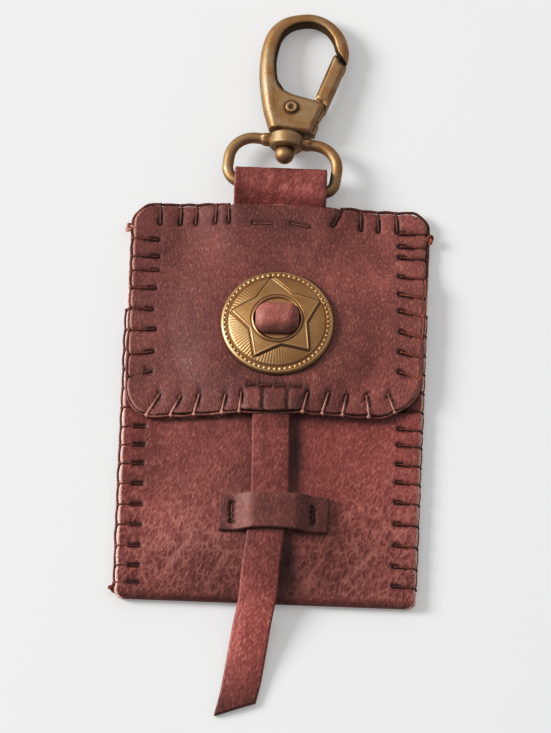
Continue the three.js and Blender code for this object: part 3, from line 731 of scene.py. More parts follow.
def make_strap(material):
    """The closing strap, cut slantwise at its tip."""
    under = even(spline(STRAP_LINE, 400), STRAP_STEP)
    shares = np.linspace(-1, 1, 29)
    run = np.linspace(0, 1, 200)[:, None]
    last = len(under) - 1
    places = np.arange(last + 1)
    tip = 1 - STRAP_TIP_SLANT / (STRAP_STEP * last) * shares[None, :] / 2
    at = run * tip * last
    line = rows_at(at, places, under)
    line = line + np.maximum(at - last, 0)[..., None] * (under[-1] - under[-2])
    tangent = unit(np.gradient(rows_at(run[:, 0] * last, places, under), axis=0))
    across = unit(np.cross(tangent, (0, 0, 1.0)))
    across = np.where(across[:, :1] < 0, -across, across)
    normal = unit(np.cross(across, tangent))
    normal = np.where(normal[:, 2:] < 0, -normal, normal)[:, None, :]
    sway = 0.12 * ripple(run * 80, np.zeros_like(run), 16, 31)
    base = line + across[:, None, :] * (shares[None, :, None] * (STRAP_WIDTH / 2 - 0.3) + sway[..., None])
    crown = 0.4 * (1 - shares**2)[None, :, None]
    grain = 0.05 * ripple(base[..., 0], base[..., 1], 5, 33)[..., None]
    outer = base + normal * (STRAP_THICK - 0.3 + crown + grain)
    inner = base + normal * 0.02
    layers = leather_layers(tone_and_light_patches(outer[..., 0], outer[..., 1], STRAP_PAINTED_LIGHT), coarse=0.25)
    piece = make_sheet("strap_leather", outer, inner, material, layers, bulge=0.3, raw=0.0)
    return settle(piece, "wallet", ["strap"])


def make_keeper(material):
    """A short band sewn down at both ends, arched over the strap."""
    u = np.linspace(-1, 1, 120)[None, :]
    v = np.linspace(-1, 1, 48)[:, None]
    local = u * KEEPER["length"] / 2 + 0 * v
    x = KEEPER["x"] + local
    y = KEEPER["y"] + v * KEEPER["height"] / 2 + 0.012 * local - 0.12 * np.cos(u * 5) * v
    arch = 1 - smooth(np.abs(local), 4.9, 10.2)
    under = front_top(x, y) + 0.06 + KEEPER["arch"] * arch
    ragged = x + 0.35 * ripple(x, y, 1.5, 43)
    sink, dark = dash_relief(ragged, y, KEEPER_DASHES, 0.75, 0.62)
    lift = 0.12 * bell(np.abs(local) - 8, 1.6)
    # A paler, mottled patch on the left slope of the arch, the side that faces the key: painted highlight.
    wear_and_highlight = 0.75 * bell(local + 7, 1.9) * (0.7 + 0.3 * ripple(x, y, 1.4, 47))
    outer_z = under + LEATHER - sink + lift + 0.06 * ripple(x, y, 6, 41)
    inner_z = under - 0.1 * sink
    end_strip = smooth(np.abs(local), 10.2, 11.2)
    outer = np.stack([x, y, outer_z], -1)
    inner = np.stack([x, y, inner_z], -1)
    layers = leather_layers(tone_and_light_patches(x, y, KEEPER_TONE_AND_PAINTED_SHADE), np.maximum(dark, 0.12 * end_strip), 0.1, wear_and_highlight)
    piece = make_sheet("keeper_leather", outer, inner, material, layers, bulge=0.15, raw=0.05)
    return settle(piece, "wallet", ["keeper"])


def concho_matrix():
    return Matrix.Translation(Vector(CONCHO_AT) * MM) @ Matrix.Rotation(CONCHO_TILT, 4, "X")


TIE = {"half": 5.2, "thick": 1.2, "leg_y": 2.6, "low_z": -2.2}
TIE |= {"bulge_y": 3.6, "middle_z": 3.2, "crown_z": 5.3}


def make_tie(material):
    """The thong that ties the concho on, rolled over into a barrel as it humps out of the hub."""
    turns = np.linspace(0, math.pi, 30)
    hump = TIE["crown_z"] - TIE["middle_z"]
    over = [(TIE["bulge_y"] * math.cos(turn), TIE["middle_z"] + hump * math.sin(turn)) for turn in turns]
    leg = [(TIE["leg_y"], TIE["low_z"]), (TIE["leg_y"], 0.4), (TIE["leg_y"] + 0.35, 1.9)]
    line = even(leg + over + [(-y, z) for y, z in leg[::-1]], 0.22)
    shares = np.sin(np.linspace(-math.pi / 2, math.pi / 2, 45))
    outer, inner = strip_grids(line, TIE["half"], TIE["thick"], shares)
    draw_in = (1 - 0.42 * np.abs(shares) ** 5)[None, :]
    raised = smooth(outer[..., 2], 1.0, 3.0)
    for grid in (outer, inner):
        grid[..., 1] *= lerp(1, draw_in, raised)
        grid[..., 2] = lerp(grid[..., 2], lerp(TIE["middle_z"] - 0.6, grid[..., 2], draw_in), raised)
    outer[..., 2] += 0.1 * ripple(outer[..., 0], outer[..., 1], 3.2, 51) * raised
    # Painted shade: darker towards the barrel's lower side, lighter over its top.
    layers = leather_layers(0.3 - 0.75 * smooth(-outer[..., 1], 1.0, 3.4), coarse=0.2, pale=0.6)
    piece = make_sheet("concho_tie_leather", outer, inner, material, layers, bulge=0.35, raw=0.25)
    piece.data.transform(concho_matrix())
    return settle(piece, "wallet", ["concho_tie"])


# Thread: heights of the leather that it lies on
def back_level(x, y):
    return 0.0


def pouch_thread_top(x, y):
    return float(front_top(np.float64(x), np.float64(y)))


def flap_thread_top(x, y):
    x, y = np.float64(x), np.float64(y)
    return float(flap_under(x, y) + LEATHER + flap_wave(x, y))


def flap_thread_low(x, y):
    return flap_thread_top(x, y) - LEATHER - 0.1


def keeper_thread_top(x, y):
    return pouch_thread_top(x, y) + LEATHER + 0.1


def leg_points(hole, edge, sunk, top, low):
    """One stitch: out of its hole, along the upper face, round the edge and back to the hole below."""
    way = unit(edge - hole)
    deep = lerp(0.2, 0.95, sunk)
    points = [(*hole, top(*hole) - 1.1), (*(hole + way * 0.1), top(*hole) - deep)]
    for share in np.linspace(0.12, 0.94, 7):
        at = lerp(hole, edge, share)
        points.append((*at, top(*at) - lerp(deep, 0.26, share) + 0.1 * math.sin(share * math.pi)))
    edge_top = top(*edge)
    edge_low = low(*edge)
    points.append((*(edge + way * 0.25), edge_top - 0.5))
    points.append((*(edge + way * (RIM_BULGE + 0.05)), lerp(edge_top, edge_low, 0.5)))
    points.append((*(edge + way * 0.2), edge_low + 0.42))
    for share in np.linspace(0.9, 0.1, 5):
        at = lerp(hole, edge, share)
        points.append((*at, low(*at) + 0.4))
    points.append((*hole, low(*hole) + 1.0))
    return np.array(points)


def edge_nub(outline, edge, top, low, way, off):
    """Where a stitch grips the edge: the place, the height and the way that the leg runs."""
    return outline.beside(edge, off), lerp(top(*edge), low(*edge), 0.42), way


def blanket_thread(
    name, stitches, outline, heights, material, seed,
    joins=(None, None), thick=THREAD_R, off=PURL_OFF, purl=1.0,
):
    """Blanket stitches: a leg at each hole, and a purl along the edge that may run on to other stitches."""
    dice = np.random.default_rng(seed)
    top, low = heights
    shells = []
    painted_highlight = []
    nubs = []
    for hole, edge, sunk in stitches:
        line = even(spline(leg_points(hole, edge, sunk, top, low), 120), THREAD_STEP)
        leg = tube(line, LEG_R * thick / THREAD_R)
        shells.append(leg)
        # Painted highlight: the leg lightens away from its hole towards the edge.
        painted_highlight.append(0.8 * smooth(np.linalg.norm(leg[0][:, :2] - hole, axis=1), 1.2, 3.6))
        nubs.append(edge_nub(outline, edge, top, low, unit(edge - hole), off))
    run = list(nubs)
    for other, place in zip(joins, (0, len(nubs) + 1)):
        if other:
            run.insert(place, edge_nub(outline, other[1], top, low, (0, 0), off))
    for (start, start_z, _), (end, end_z, _) in zip(run, run[1:]):
        bow = 0.2 * dice.random()
        lift = 0.5 * (dice.random() - 0.5)
        rows = []
        for share in np.linspace(0, 1, 7):
            hump = math.sin(math.pi * share)
            at = outline.beside(lerp(start, end, share), off + (bow + 0.6 * EDGE_PULL) * hump)
            rows.append((*at, lerp(start_z, end_z, share) + lift * hump))
        shells.append(tube(even(spline(rows, 60), THREAD_STEP), purl * thick * (0.9 + 0.25 * dice.random())))
        painted_highlight.append(np.zeros(len(shells[-1][0])))
    around = np.linspace(0, math.tau, 14)
    for at, height, way in nubs:
        size = 0.8 + 0.5 * dice.random()
        loop = np.array([*at, height]) + np.outer(np.cos(around) * 0.17 * size, np.array([*way, 0]))
        loop = loop + np.outer(np.sin(around) * 0.22 * size, np.array([-way[1], way[0], 0]))
        loop[:, 2] += 0.3 * np.sin(around / 2)
        shells.append(tube(even(loop, 0.2), 0.5 * (1 + purl) * thick))
        painted_highlight.append(np.full(len(shells[-1][0]), 0.9))
    verts, faces = join_shells(shells)
    if outline is FLAP:
        verts[:, 1] += flap_drop(verts[:, 0], verts[:, 1])
    piece = make_object(name, verts, faces, {"painted_highlight": np.concatenate(painted_highlight)}, material)
    return settle(piece, "wallet")


def dash_thread(name, dashes, top, material, sunk):
    """Running stitches: short lengths that come up at one hole and go down at the next."""
    shells = []
    for start, end in dashes:
        points = [(*start, top(*start) - 1)]
        for share in np.linspace(0.04, 0.96, 7):
            at = lerp(start, end, share)
            points.append((*at, top(*at) - sunk + 0.1 * math.sin(math.pi * share)))
        points.append((*end, top(*end) - 1))
        shells.append(tube(even(spline(points, 60), 0.2), THREAD_R * 0.9))
    verts, faces = join_shells(shells)
    return settle(make_object(name, verts, faces, None, material), "wallet")


KNOT_R = 0.33
KNOT_TAIL = [(0, 0, 0), (-0.4, 0.5, 0.1), (-0.6, 1.2, 0)]


def knot_thread(name, at, material, size, turn):
    """A small overhand knot with a cut tail."""
    around = np.linspace(0, math.tau, 70)
    x = np.sin(around) + 2 * np.sin(2 * around)
    y = np.cos(around) - 2 * np.cos(2 * around)
    loop = np.stack([x, y, -np.sin(3 * around)], 1) * size / 3
    tail = tube(spline(loop[0] + np.array(KNOT_TAIL), 12), np.linspace(KNOT_R, 0.2, 12))
    verts, faces = join_shells([tube(loop, KNOT_R), tail])
    spin = np.array([[math.cos(turn), -math.sin(turn), 0], [math.sin(turn), math.cos(turn), 0], [0, 0, 1]])
    # Painted highlight all over the knot.
    painted_highlight = np.full(len(verts), 0.9)
    piece = make_object(name, verts @ spin.T + np.array(at), faces, {"painted_highlight": painted_highlight}, material)
    return settle(piece, "wallet")


# Materials
def srgb(text):
    """Linear colour from a hex code."""
    parts = [int(text[k:k + 2], 16) / 255 for k in (1, 3, 5)]
    return (*[part / 12.92 if part <= 0.04045 else ((part + 0.055) / 1.055) ** 2.4 for part in parts], 1)


class Nodes:
    """Short ways to add nodes to a tree; a hex code stands for its colour."""

    def __init__(self, tree):
        self.tree = tree

    def put(self, value, socket):
        """Links a socket to another one, or sets it."""
        if isinstance(value, bpy.types.NodeSocket):
            self.tree.links.new(value, socket)
        else:
            socket.default_value = srgb(value) if isinstance(value, str) else value

    def add(self, kind, inputs=None, **settings):
        made = self.tree.nodes.new("ShaderNode" + kind)
        for key, value in settings.items():
            setattr(made, key, value)
        for key, value in (inputs or {}).items():
            self.put(value, made.inputs[key])
        return made

    def math(self, operation, first, second, third=0.0, clamp=False):
        inputs = {0: first, 1: second, 2: third}
        return self.add("Math", inputs, operation=operation, use_clamp=clamp).outputs[0]

    def times(self, first, second):
        return self.math("MULTIPLY", first, second)

    def vector(self, operation, first, second):
        """Vector arithmetic; a scale takes one number instead of a second vector."""
        inputs = {0: first, "Scale" if operation == "SCALE" else 1: second}
        return self.add("VectorMath", inputs, operation=operation).outputs[0]

    def ramp(self, value, low, high, start=0.0, end=1.0):
        inputs = {"Value": value, "From Min": low, "From Max": high, "To Min": start, "To Max": end}
        return self.add("MapRange", inputs, interpolation_type="SMOOTHSTEP").outputs["Result"]

    def mix(self, share, first, second):
        return self.add("Mix", {0: share, 6: first, 7: second}, data_type="RGBA").outputs[2]

    def value(self, name):
        """A value that the mesh has at each point."""
        return self.add("Attribute", attribute_name=name).outputs["Fac"]

    def millimetres(self):
        return self.vector("MULTIPLY", self.add("TexCoord").outputs["Object"], (1000, 1000, 1000))

    def noise(self, place, scale, detail, output="Fac", **more):
        inputs = {"Vector": place, "Scale": scale, "Detail": detail, **more}
        return self.add("TexNoise", inputs).outputs[output]

    def drawn_out(self, place, scale, turn):
        """Places drawn out along one direction."""
        inputs = {"Vector": place, "Rotation": (0, 0, turn), "Scale": scale}
        return self.add("Mapping", inputs, vector_type="TEXTURE").outputs[0]

    def grain_cells(self, place, size, stretch, turn, warp):
        """Distance to the creases round grain cells of a given size, drawn out along one direction."""
        shake = self.noise(place, 0.55 / size, 2.0, "Color")
        shift = self.vector("SCALE", self.vector("SUBTRACT", shake, (0.5, 0.5, 0.5)), warp * size)
        scaled = self.drawn_out(self.vector("ADD", place, shift), (size, size * stretch, size), turn)
        inputs = {"Vector": scaled, "Scale": 1.0}
        return self.add("TexVoronoi", inputs, feature="DISTANCE_TO_EDGE").outputs["Distance"]

    def streaks(self, place, size, stretch, turn, detail):
        """Noise drawn out into short streaks along one direction."""
        scaled = self.drawn_out(place, (size, size * stretch, size), turn)
        return self.noise(scaled, 1.0, detail, Roughness=0.6, Distortion=0.5)

    def dress(self, shader, colour, rough, height, strength, distance):
        """Gives a shader its colour, its roughness and its bump."""
        bump = self.add("Bump", {"Height": height, "Strength": strength, "Distance": distance})
        for key, value in (("Base Color", colour), ("Roughness", rough), ("Normal", bump.outputs[0])):
            self.put(value, shader.inputs[key])


def new_material(name):
    material = bpy.data.materials.new(name)
    material.use_nodes = True
    tree = material.node_tree
    return material, Nodes(tree), tree.nodes["Principled BSDF"]


def leather_material(name, tones, grain):
    """Soft burgundy leather: pale creases and streaks over darker grain, painted shade in the holes, slots,
    grooves and folds of its seams, pale raw edges.
    """
    material, nodes, shader = new_material(name)
    ramp, times, value = nodes.ramp, nodes.times, nodes.value
    place = nodes.millimetres()
    coarse = value("coarse")
    cells = nodes.grain_cells(place, grain["coarse"], grain["stretch"], grain["turn"], 1.1)
    small = nodes.grain_cells(place, grain["coarse"] * 0.75, grain["stretch"], grain["cross"], 0.9)
    streak = nodes.streaks(place, grain["fine"], 3.0, grain["turn"], 3.0)
    blotch, patch, fleck = (nodes.noise(place, scale, 4.0) for scale in (0.09, 0.35, 2.6))
    network = nodes.math("MAXIMUM", ramp(cells, 0.0, 0.2, 1, 0), ramp(small, 0.0, 0.16, 0.45, 0))
    network = times(times(network, ramp(patch, 0.34, 0.6, 0.25, 1)), coarse)
    colour = nodes.mix(ramp(blotch, 0.3, 0.7), tones["deep"], tones["main"])
    coats = [
        (ramp(patch, 0.45, 0.8, 0, 0.5), "light"),
        (times(ramp(streak, 0.54, 0.38), 0.65), "deep"),
        (times(ramp(cells, 0.08, 0.3), ramp(coarse, 0.3, 1.0, 0, 0.35)), "deep"),
        (times(ramp(streak, 0.5, 0.7), grain["streaks"]), "crease"),
        (times(network, grain["network"]), "crease"),
        (times(value("pale"), 0.5), "crease"),
    ]
    for share, tone in coats:
        colour = nodes.mix(share, colour, tones[tone])
    colour = nodes.vector("SCALE", colour, nodes.math("MULTIPLY_ADD", value("tone"), 0.6, 1.0))
    raw = nodes.mix(ramp(fleck, 0.35, 0.65), tones["raw_dark"], tones["raw"])
    colour = nodes.mix(value("edge"), colour, raw)
    # The dark value paints shade in holes, slots, grooves and folds, and darkens the keeper's sewn ends.
    colour = nodes.mix(times(value("dark"), 0.9), colour, tones["seam"])
    rough = ramp(patch, 0.3, 0.7, grain["rough"] - 0.06, grain["rough"] + 0.08)
    shader.inputs["Specular IOR Level"].default_value = 0.3
    dip = times(times(ramp(cells, 0.0, 0.3), coarse), -0.9)
    dip = nodes.math("ADD", dip, times(ramp(small, 0.0, 0.35), -0.35))
    height = nodes.math("ADD", dip, times(streak, 1.2))
    nodes.dress(shader, colour, rough, height, grain["bump"], BUMP_DEPTH["leather"])
    return material


def thread_material(name, tones):
    """Waxed thread; where a tone is given for it, a painted highlight lightens its nubs, its knots and its
    legs towards the edge.
    """
    material, nodes, shader = new_material(name)
    place = nodes.millimetres()
    wear_and_highlight = nodes.noise(place, 0.3, 3.0)
    fibre = nodes.noise(place, 4.0, 3.0)
    colour = nodes.mix(nodes.ramp(wear_and_highlight, 0.35, 0.68), tones["dark"], tones["main"])
    colour = nodes.mix(nodes.ramp(fibre, 0.45, 0.72, 0, 0.7), colour, tones["light"])
    if "painted_highlight" in tones:
        colour = nodes.mix(nodes.value("painted_highlight"), colour, tones["painted_highlight"])
    nodes.dress(shader, colour, nodes.ramp(fibre, 0.3, 0.7, 0.42, 0.62), fibre, 0.6, BUMP_DEPTH["thread"])
    return material


def brass_material(name, tones, rough):
    """Antiqued brass: dark in its recesses, polished bright on its ridges, with faint scratches; on the cast
    pieces the recess value also holds painted shade.
    """
    material, nodes, shader = new_material(name)
    place = nodes.millimetres()
    cloud = nodes.noise(place, 0.28, 4.0)
    speck = nodes.noise(place, 2.2, 4.0)
    scratch = nodes.noise(nodes.drawn_out(place, (0.12, 2.4, 1.0), 0.6), 1.0, 3.0)
    colour = nodes.mix(nodes.ramp(cloud, 0.32, 0.68), tones["main"], tones["warm"])
    colour = nodes.mix(nodes.ramp(speck, 0.5, 0.75, 0, 0.35), colour, tones["stain_and_shade"])
    colour = nodes.mix(nodes.value("ridge"), colour, tones["bright"])
    colour = nodes.mix(nodes.value("recess"), colour, tones["dark"])
    shader.inputs["Metallic"].default_value = 1.0
    dull = nodes.times(nodes.value("recess"), 0.25)
    dull = nodes.math("ADD", nodes.ramp(speck, 0.3, 0.7, rough - 0.05, rough + 0.1), dull, clamp=True)
    height = nodes.math("ADD", nodes.times(scratch, 0.5), speck)
    nodes.dress(shader, colour, dull, height, 0.18, BUMP_DEPTH["brass"])
    return material


def floor_material():
    """A pale board that glows a little, so that shadows on it stay light."""
    material, _, shader = new_material("pale_floor")
    for key, value in FLOOR_FINISH.items():
        shader.inputs[key].default_value = value
    return material


# Concho
STAR = {"points": 5, "tip": 11.65, "inner": 7.5, "turn": math.radians(27.2), "rise": 0.3, "up": 0.45}
CONCHO_R = 14.25
FIELD_R = 12.15
GROOVE_R = 12.3
UNDER_RIM_R = 12.6
DOME_R = 12.9
RIM_R = 13.3
RIM_RIDGE_R = 13.6
DARK_EDGE_R = 14
BEADS = 62
BEAD_RING_R = 12.95
BEAD_R = 0.45
BEAD_BAND = (12.45, 13.45)
HATCH_STROKES = 93
HUB = {"groove": 6.5, "lip": 6.1, "floor": 5.4, "floor_z": 2.85}
UNDER_Z = -0.15


def star_depth(x, y):
    """How far a point lies inside the star's edge, and the distance to its nearest edge line."""
    corners = []
    for k in range(2 * STAR["points"]):
        radius = STAR["tip"] if k % 2 == 0 else STAR["inner"]
        angle = STAR["turn"] + k * math.pi / STAR["points"]
        corners.append((radius * math.cos(angle), radius * math.sin(angle) + STAR["up"]))
    corners = np.array(corners)
    nearest = np.full_like(x, 99.0)
    crossings = np.zeros(x.shape, int)
    for start, end in zip(corners, np.roll(corners, -1, 0)):
        nearest = np.minimum(nearest, line_distance(x, y, start, end))
        spans = (start[1] > y) != (end[1] > y)
        at = start[0] + (y - start[1]) * (end[0] - start[0]) / (end[1] - start[1])
        crossings += spans & (x < at)
    return np.where(crossings % 2 == 1, nearest, -nearest), nearest


def concho_height(radius, angle):
    """Height of the concho's face with its star, hatching, beads and hub, and its recess and ridge tones."""
    dome = 1 + 2.6 * (1 - (np.minimum(radius, DOME_R) / DOME_R) ** 2)
    inside, to_line = star_depth(radius * np.cos(angle), radius * np.sin(angle))
    star = smooth(inside, -0.1, 0.1)
    ridge_line = bell(to_line - 0.14, 0.2) * star
    moat = bell(to_line - 0.22, 0.2) * (1 - star)
    field = (1 - star) * smooth(FIELD_R - radius, 0, 0.3) * smooth(radius - 7, 0, 0.5)
    strokes = 0.5 + 0.5 * np.cos(angle * HATCH_STROKES)
    uneven = 0.6 + 0.4 * np.sin(angle - 2.36)
    hatch = field * strokes * smooth(-inside, 0.35, 0.7) * uneven
    z = dome + STAR["rise"] * star + 0.18 * ridge_line - 0.22 * moat + 0.07 * hatch
    ring_groove = bell(radius - GROOVE_R, 0.15)
    z = z - 0.18 * ring_groove
    bead_angle = (angle * BEADS / math.tau) % 1 - 0.5
    from_bead = np.hypot(bead_angle * math.tau * BEAD_RING_R / BEADS, radius - BEAD_RING_R)
    bead = np.sqrt(np.maximum(BEAD_R**2 - from_bead**2, 0))
    z = np.where(radius > GROOVE_R, np.maximum(z, 0.95 + 0.7 * bead), z)
    rim = np.clip((radius - RIM_R) / (CONCHO_R - RIM_R), 0, 1)
    z = np.where(radius > RIM_R, 1.1 * np.sqrt(1 - 0.98 * rim**2), z)
    hub_ring = bell(radius - HUB["lip"], 0.25)
    hub_groove = bell(radius - HUB["groove"], 0.17)
    z = z + 0.03 * hub_ring - 0.22 * hub_groove
    z = lerp(z, HUB["floor_z"], 1 - smooth(radius, HUB["floor"], HUB["lip"]))
    recess = 0.55 * moat + 0.35 * ring_groove + 0.6 * hub_groove + 0.12 * field * (1 - strokes) * uneven
    between = (radius > BEAD_BAND[0]) * (radius < BEAD_BAND[1]) * smooth(BEAD_R - from_bead, 0.15, -0.1)
    # The outermost edge of the rim is darkened all round: painted shade where the rim meets the leather.
    recess = recess + 0.35 * between + 0.5 * smooth(radius, DARK_EDGE_R, CONCHO_R)
    ridge = 0.5 * ridge_line + 0.2 * smooth(bead, 0.25, 0.42) + 0.15 * hub_ring + 0.15 * hatch
    ridge = ridge + 0.3 * bell(radius - RIM_RIDGE_R, 0.25)
    return z, np.clip(recess, 0, 1), np.clip(ridge, 0, 1)


def make_concho(material):
    """The round brass ornament: a star in relief, hatched fields, a ring of beads and a sunk hub."""
    steps = [(0.05, 5.3, 8), (5.45, 7.1, 16), (7.25, 12, 40), (12.1, CONCHO_R, 26)]
    radii = np.concatenate([np.linspace(*step) for step in steps])
    angles = np.linspace(0, math.tau, BEADS * 9, endpoint=False)
    radius, angle = np.meshgrid(radii, angles, indexing="ij")
    z, recess, ridge = concho_height(radius, angle)
    under_r = radii[::-1][::4, None]
    under_z = np.minimum(z[::-1][::4] - 1.0, 2.2) - 0.2
    under_z = np.where(under_r > UNDER_RIM_R, UNDER_Z, under_z)
    ring_r = np.concatenate([radius, radius[-1:], np.repeat(under_r[1:], len(angles), 1), radius[:1]])
    ring_z = np.concatenate([z, np.full_like(z[:1], UNDER_Z), under_z[1:], np.full_like(z[:1], 0.5)])
    rings = np.stack([ring_r * np.cos(angles), ring_r * np.sin(angles), ring_z], -1)
    verts, faces = capped(rings, (0, 0, HUB["floor_z"]), (0, 0, 0.5))
    hidden = len(verts) - z.size - 2
    tones = {
        "recess": np.concatenate([recess.reshape(-1), np.full(hidden, 0.4), [0.2, 0.4]]),
        "ridge": np.concatenate([ridge.reshape(-1), np.zeros(hidden + 2)]),
    }
    piece = make_object("concho_brass", verts, faces, tones, material)
    piece.data.transform(concho_matrix())
    return settle(piece, "wallet", ["concho"])


# Clip, in its own axes: y along the hook from the ring's bar, z up
WIRE_R = 1.42
RING = {"half": 13.65, "height": 12.6, "low_left": 4.2, "low_right": 3.2, "high": 6.2}
COLLAR = {"outer": 4.2, "bore": 2.2, "length": 3.8, "chamfer": 0.5}
STEM_R = 1.9
STEM_END_Y = 15.4
SOLDER_R = WIRE_R + 0.3
DRIP_R = 0.75
CAST_GRAIN = 0.17
GATE_GRAIN = 0.13
BALL = {"y": 9.15, "radius": 2.45}
# The bow: x and y of its inner edge, x and y of its outer edge, half its thickness
BOW = [
    (-1.7, 15.4, -4.9, 15.1, 2.85), (-2.6, 18.6, -6.25, 18.3, 2.95), (-3.5, 22, -7.45, 21.5, 2.95),
    (-4.65, 28.4, -9.2, 28.4, 2.98), (-5.6, 34, -9.8, 34, 2.8), (-5.45, 38.4, -9.6, 38.8, 2.55),
    (-4.7, 41.25, -8.45, 42.65, 2.35), (-2.8, 43.5, -5.65, 45.85, 2.3), (0, 44.75, -1.4, 47.6, 2.3),
    (2.7, 44.95, 2.6, 48, 2.3), (5.4, 43.85, 6.6, 46.7, 2.3), (7.4, 41.7, 10.2, 43.5, 2.3),
    (8.4, 39.6, 12, 39.3, 2.2), (8.75, 39, 12, 35.6, 2.1),
]
BASE_LOW_Y = 15.05
BASE_OUTLINE = [
    (-3.3, BASE_LOW_Y), (5.75, BASE_LOW_Y), (6.45, 17.6), (7.1, 20), (7.75, 22), (7.95, 22.9), (7.7, 23.5),
    (6.9, 23.85), (4.6, 24.35), (2, 24.7), (-0.6, 25.1), (-2.6, 25.9), (-3.8, 27), (-4.6, 28.6), (-5, 30.2),
    (-6.9, 30), (-6.4, 27), (-5.35, 22), (-4.4, 18.6),
]
BASE_HALF = 2.85
BASE_HUB = (-4, 21.5)
SLOT = {"half": 1.45, "left": -2.65, "low": 18.35}
WEB = [(-4.7, BASE_LOW_Y), (6.75, BASE_LOW_Y), (7.2, 17.6), (7.35, SLOT["low"]), (-5.6, SLOT["low"])]
SPINE = [(-5.6, SLOT["low"] - 0.2), (SLOT["left"], SLOT["low"] - 0.2), (SLOT["left"], 26.3)]
SPINE += [(-4.4, 28.4), (-8.7, 28.2), (-7.6, 23.7)]
GATE_BAR = [(5.35, 24.95), (6.7, 24.25), (9.1, 24.1), (10.2, 28.2), (11.65, 34.5), (11.45, 34.85)]
GATE_BAR += [(10.4, 35.85), (10, 36.75), (8.85, 37.8), (8.3, 37.4)]
GATE_TIP = [(7.9, 33), (11.3, 33), (11.85, 34.8), (11.85, 35.6), (9.0, 38.55), (8.3, 37.6)]
GATE_HEEL = [(8.45, 21.6), (8.75, 22.8), (9.3, 25), (7, 25), (7.4, 24.5), (8.4, 23.3)]
GATE_ROOT = [(-2.3, 21), (-1.6, 19.35), (0, 18.7), (7.1, 18.75), (7.8, 20.4), (8.75, 22.8), (9.4, 26.6)]
GATE_ROOT += [(6, 26.4), (5.6, 24.95), (0, 23.3), (-1.6, 22.65)]
GATE_HALF = 2
HEEL_HALF = 1.65
ROOT_HALF = 1.15
# Steps of a bevel: how far the outline is drawn in, and how far below the face
BASE_STEPS = [(0, 0.75), (0.35, 0.3), (0.7, 0)]
GATE_STEPS = [(0, 0.8), (0.22, 0.45), (0.5, 0.2), (0.85, 0.05), (1.25, 0)]
PIVOT = (0, 21)
EYE = (1.2, 33.5)
EYE_LOW_Y = 25.4
PIN_STAIN_R = 1.75
BASE_FACE_Z = 2.4
PIN = {"shaft": 1, "head": 1.45, "half": 3.5}


def clip_matrix():
    turn = Matrix.Rotation(CLIP_TURN, 4, "Z") @ Matrix.Rotation(CLIP_SLOPE, 4, "X")
    return Matrix.Translation(Vector(BAR) * MM) @ turn


def lathe(profile, sides=64):
    """A closed shell turned about the Y axis from rows of radius and height; the profile closes on itself."""
    profile = np.asarray(profile, float)
    angles = np.linspace(0, math.tau, sides, endpoint=False)
    radius = profile[:, :1]
    height = np.repeat(profile[:, 1:], sides, 1)
    rings = np.stack([radius * np.cos(angles), height, radius * np.sin(angles)], -1)
    faces = ring_faces(len(rings) + 1, sides) % (len(rings) * sides)
    return rings.reshape(-1, 3), faces


def capsule(start, end, radius, sides=24):
    """A straight round bar with domed ends."""
    start, end = np.asarray(start, float), np.asarray(end, float)
    way = unit(end - start)
    steps = np.linspace(0, math.pi / 2, 7)[:-1]
    near = [start - way * radius * math.cos(step) for step in steps]
    far = [end + way * radius * math.cos(step) for step in steps[::-1]]
    widths = [max(radius * math.sin(step), 0.02) for step in steps]
    points = np.array(near + [start, end] + far)
    return tube(points, np.array(widths + [radius, radius] + widths[::-1]), sides, twist=0)


def plate(outline, low, high, hub=None):
    """A flat plate between two heights; its faces fan out from the hub, which sees the whole outline."""
    outline = np.asarray(outline, float)
    middle = hub or outline.mean(0)
    rings = np.array([np.column_stack([outline, np.full(len(outline), z)]) for z in (low, high)])
    return capped(rings, (*middle, low), (*middle, high))


def drawn_in(outline, by):
    """An outline drawn in by the same amount all round."""
    outline = np.asarray(outline, float)
    before = unit(outline - np.roll(outline, 1, 0))
    after = unit(np.roll(outline, -1, 0) - outline)
    inward = np.stack([-before[:, 1], before[:, 0]], 1)
    middle = unit(inward + np.stack([-after[:, 1], after[:, 0]], 1))
    lean = np.einsum("ij,ij->i", middle, inward)
    return outline + middle * (by / np.maximum(lean, 0.5))[:, None]


def bow_shell():
    """The bow as a loft of rounded sections."""
    line = spline(BOW, 110)
    angles = np.linspace(0, math.tau, 40, endpoint=False)
    square = np.where(np.cos(angles) < 0, 0.55, 1.0)
    flat, tall = (np.sign(wave) * np.abs(wave) ** square for wave in (np.cos(angles), np.sin(angles)))
    middle = (line[:, 0:2] + line[:, 2:4]) / 2
    reach = (line[:, 2:4] - line[:, 0:2]) / 2
    xy = middle[:, None, :] + reach[:, None, :] * flat[None, :, None]
    rings = np.concatenate([xy, (line[:, 4:5] * tall)[..., None]], -1)
    return capped(rings, (*middle[0], 0), (*middle[-1], 0))


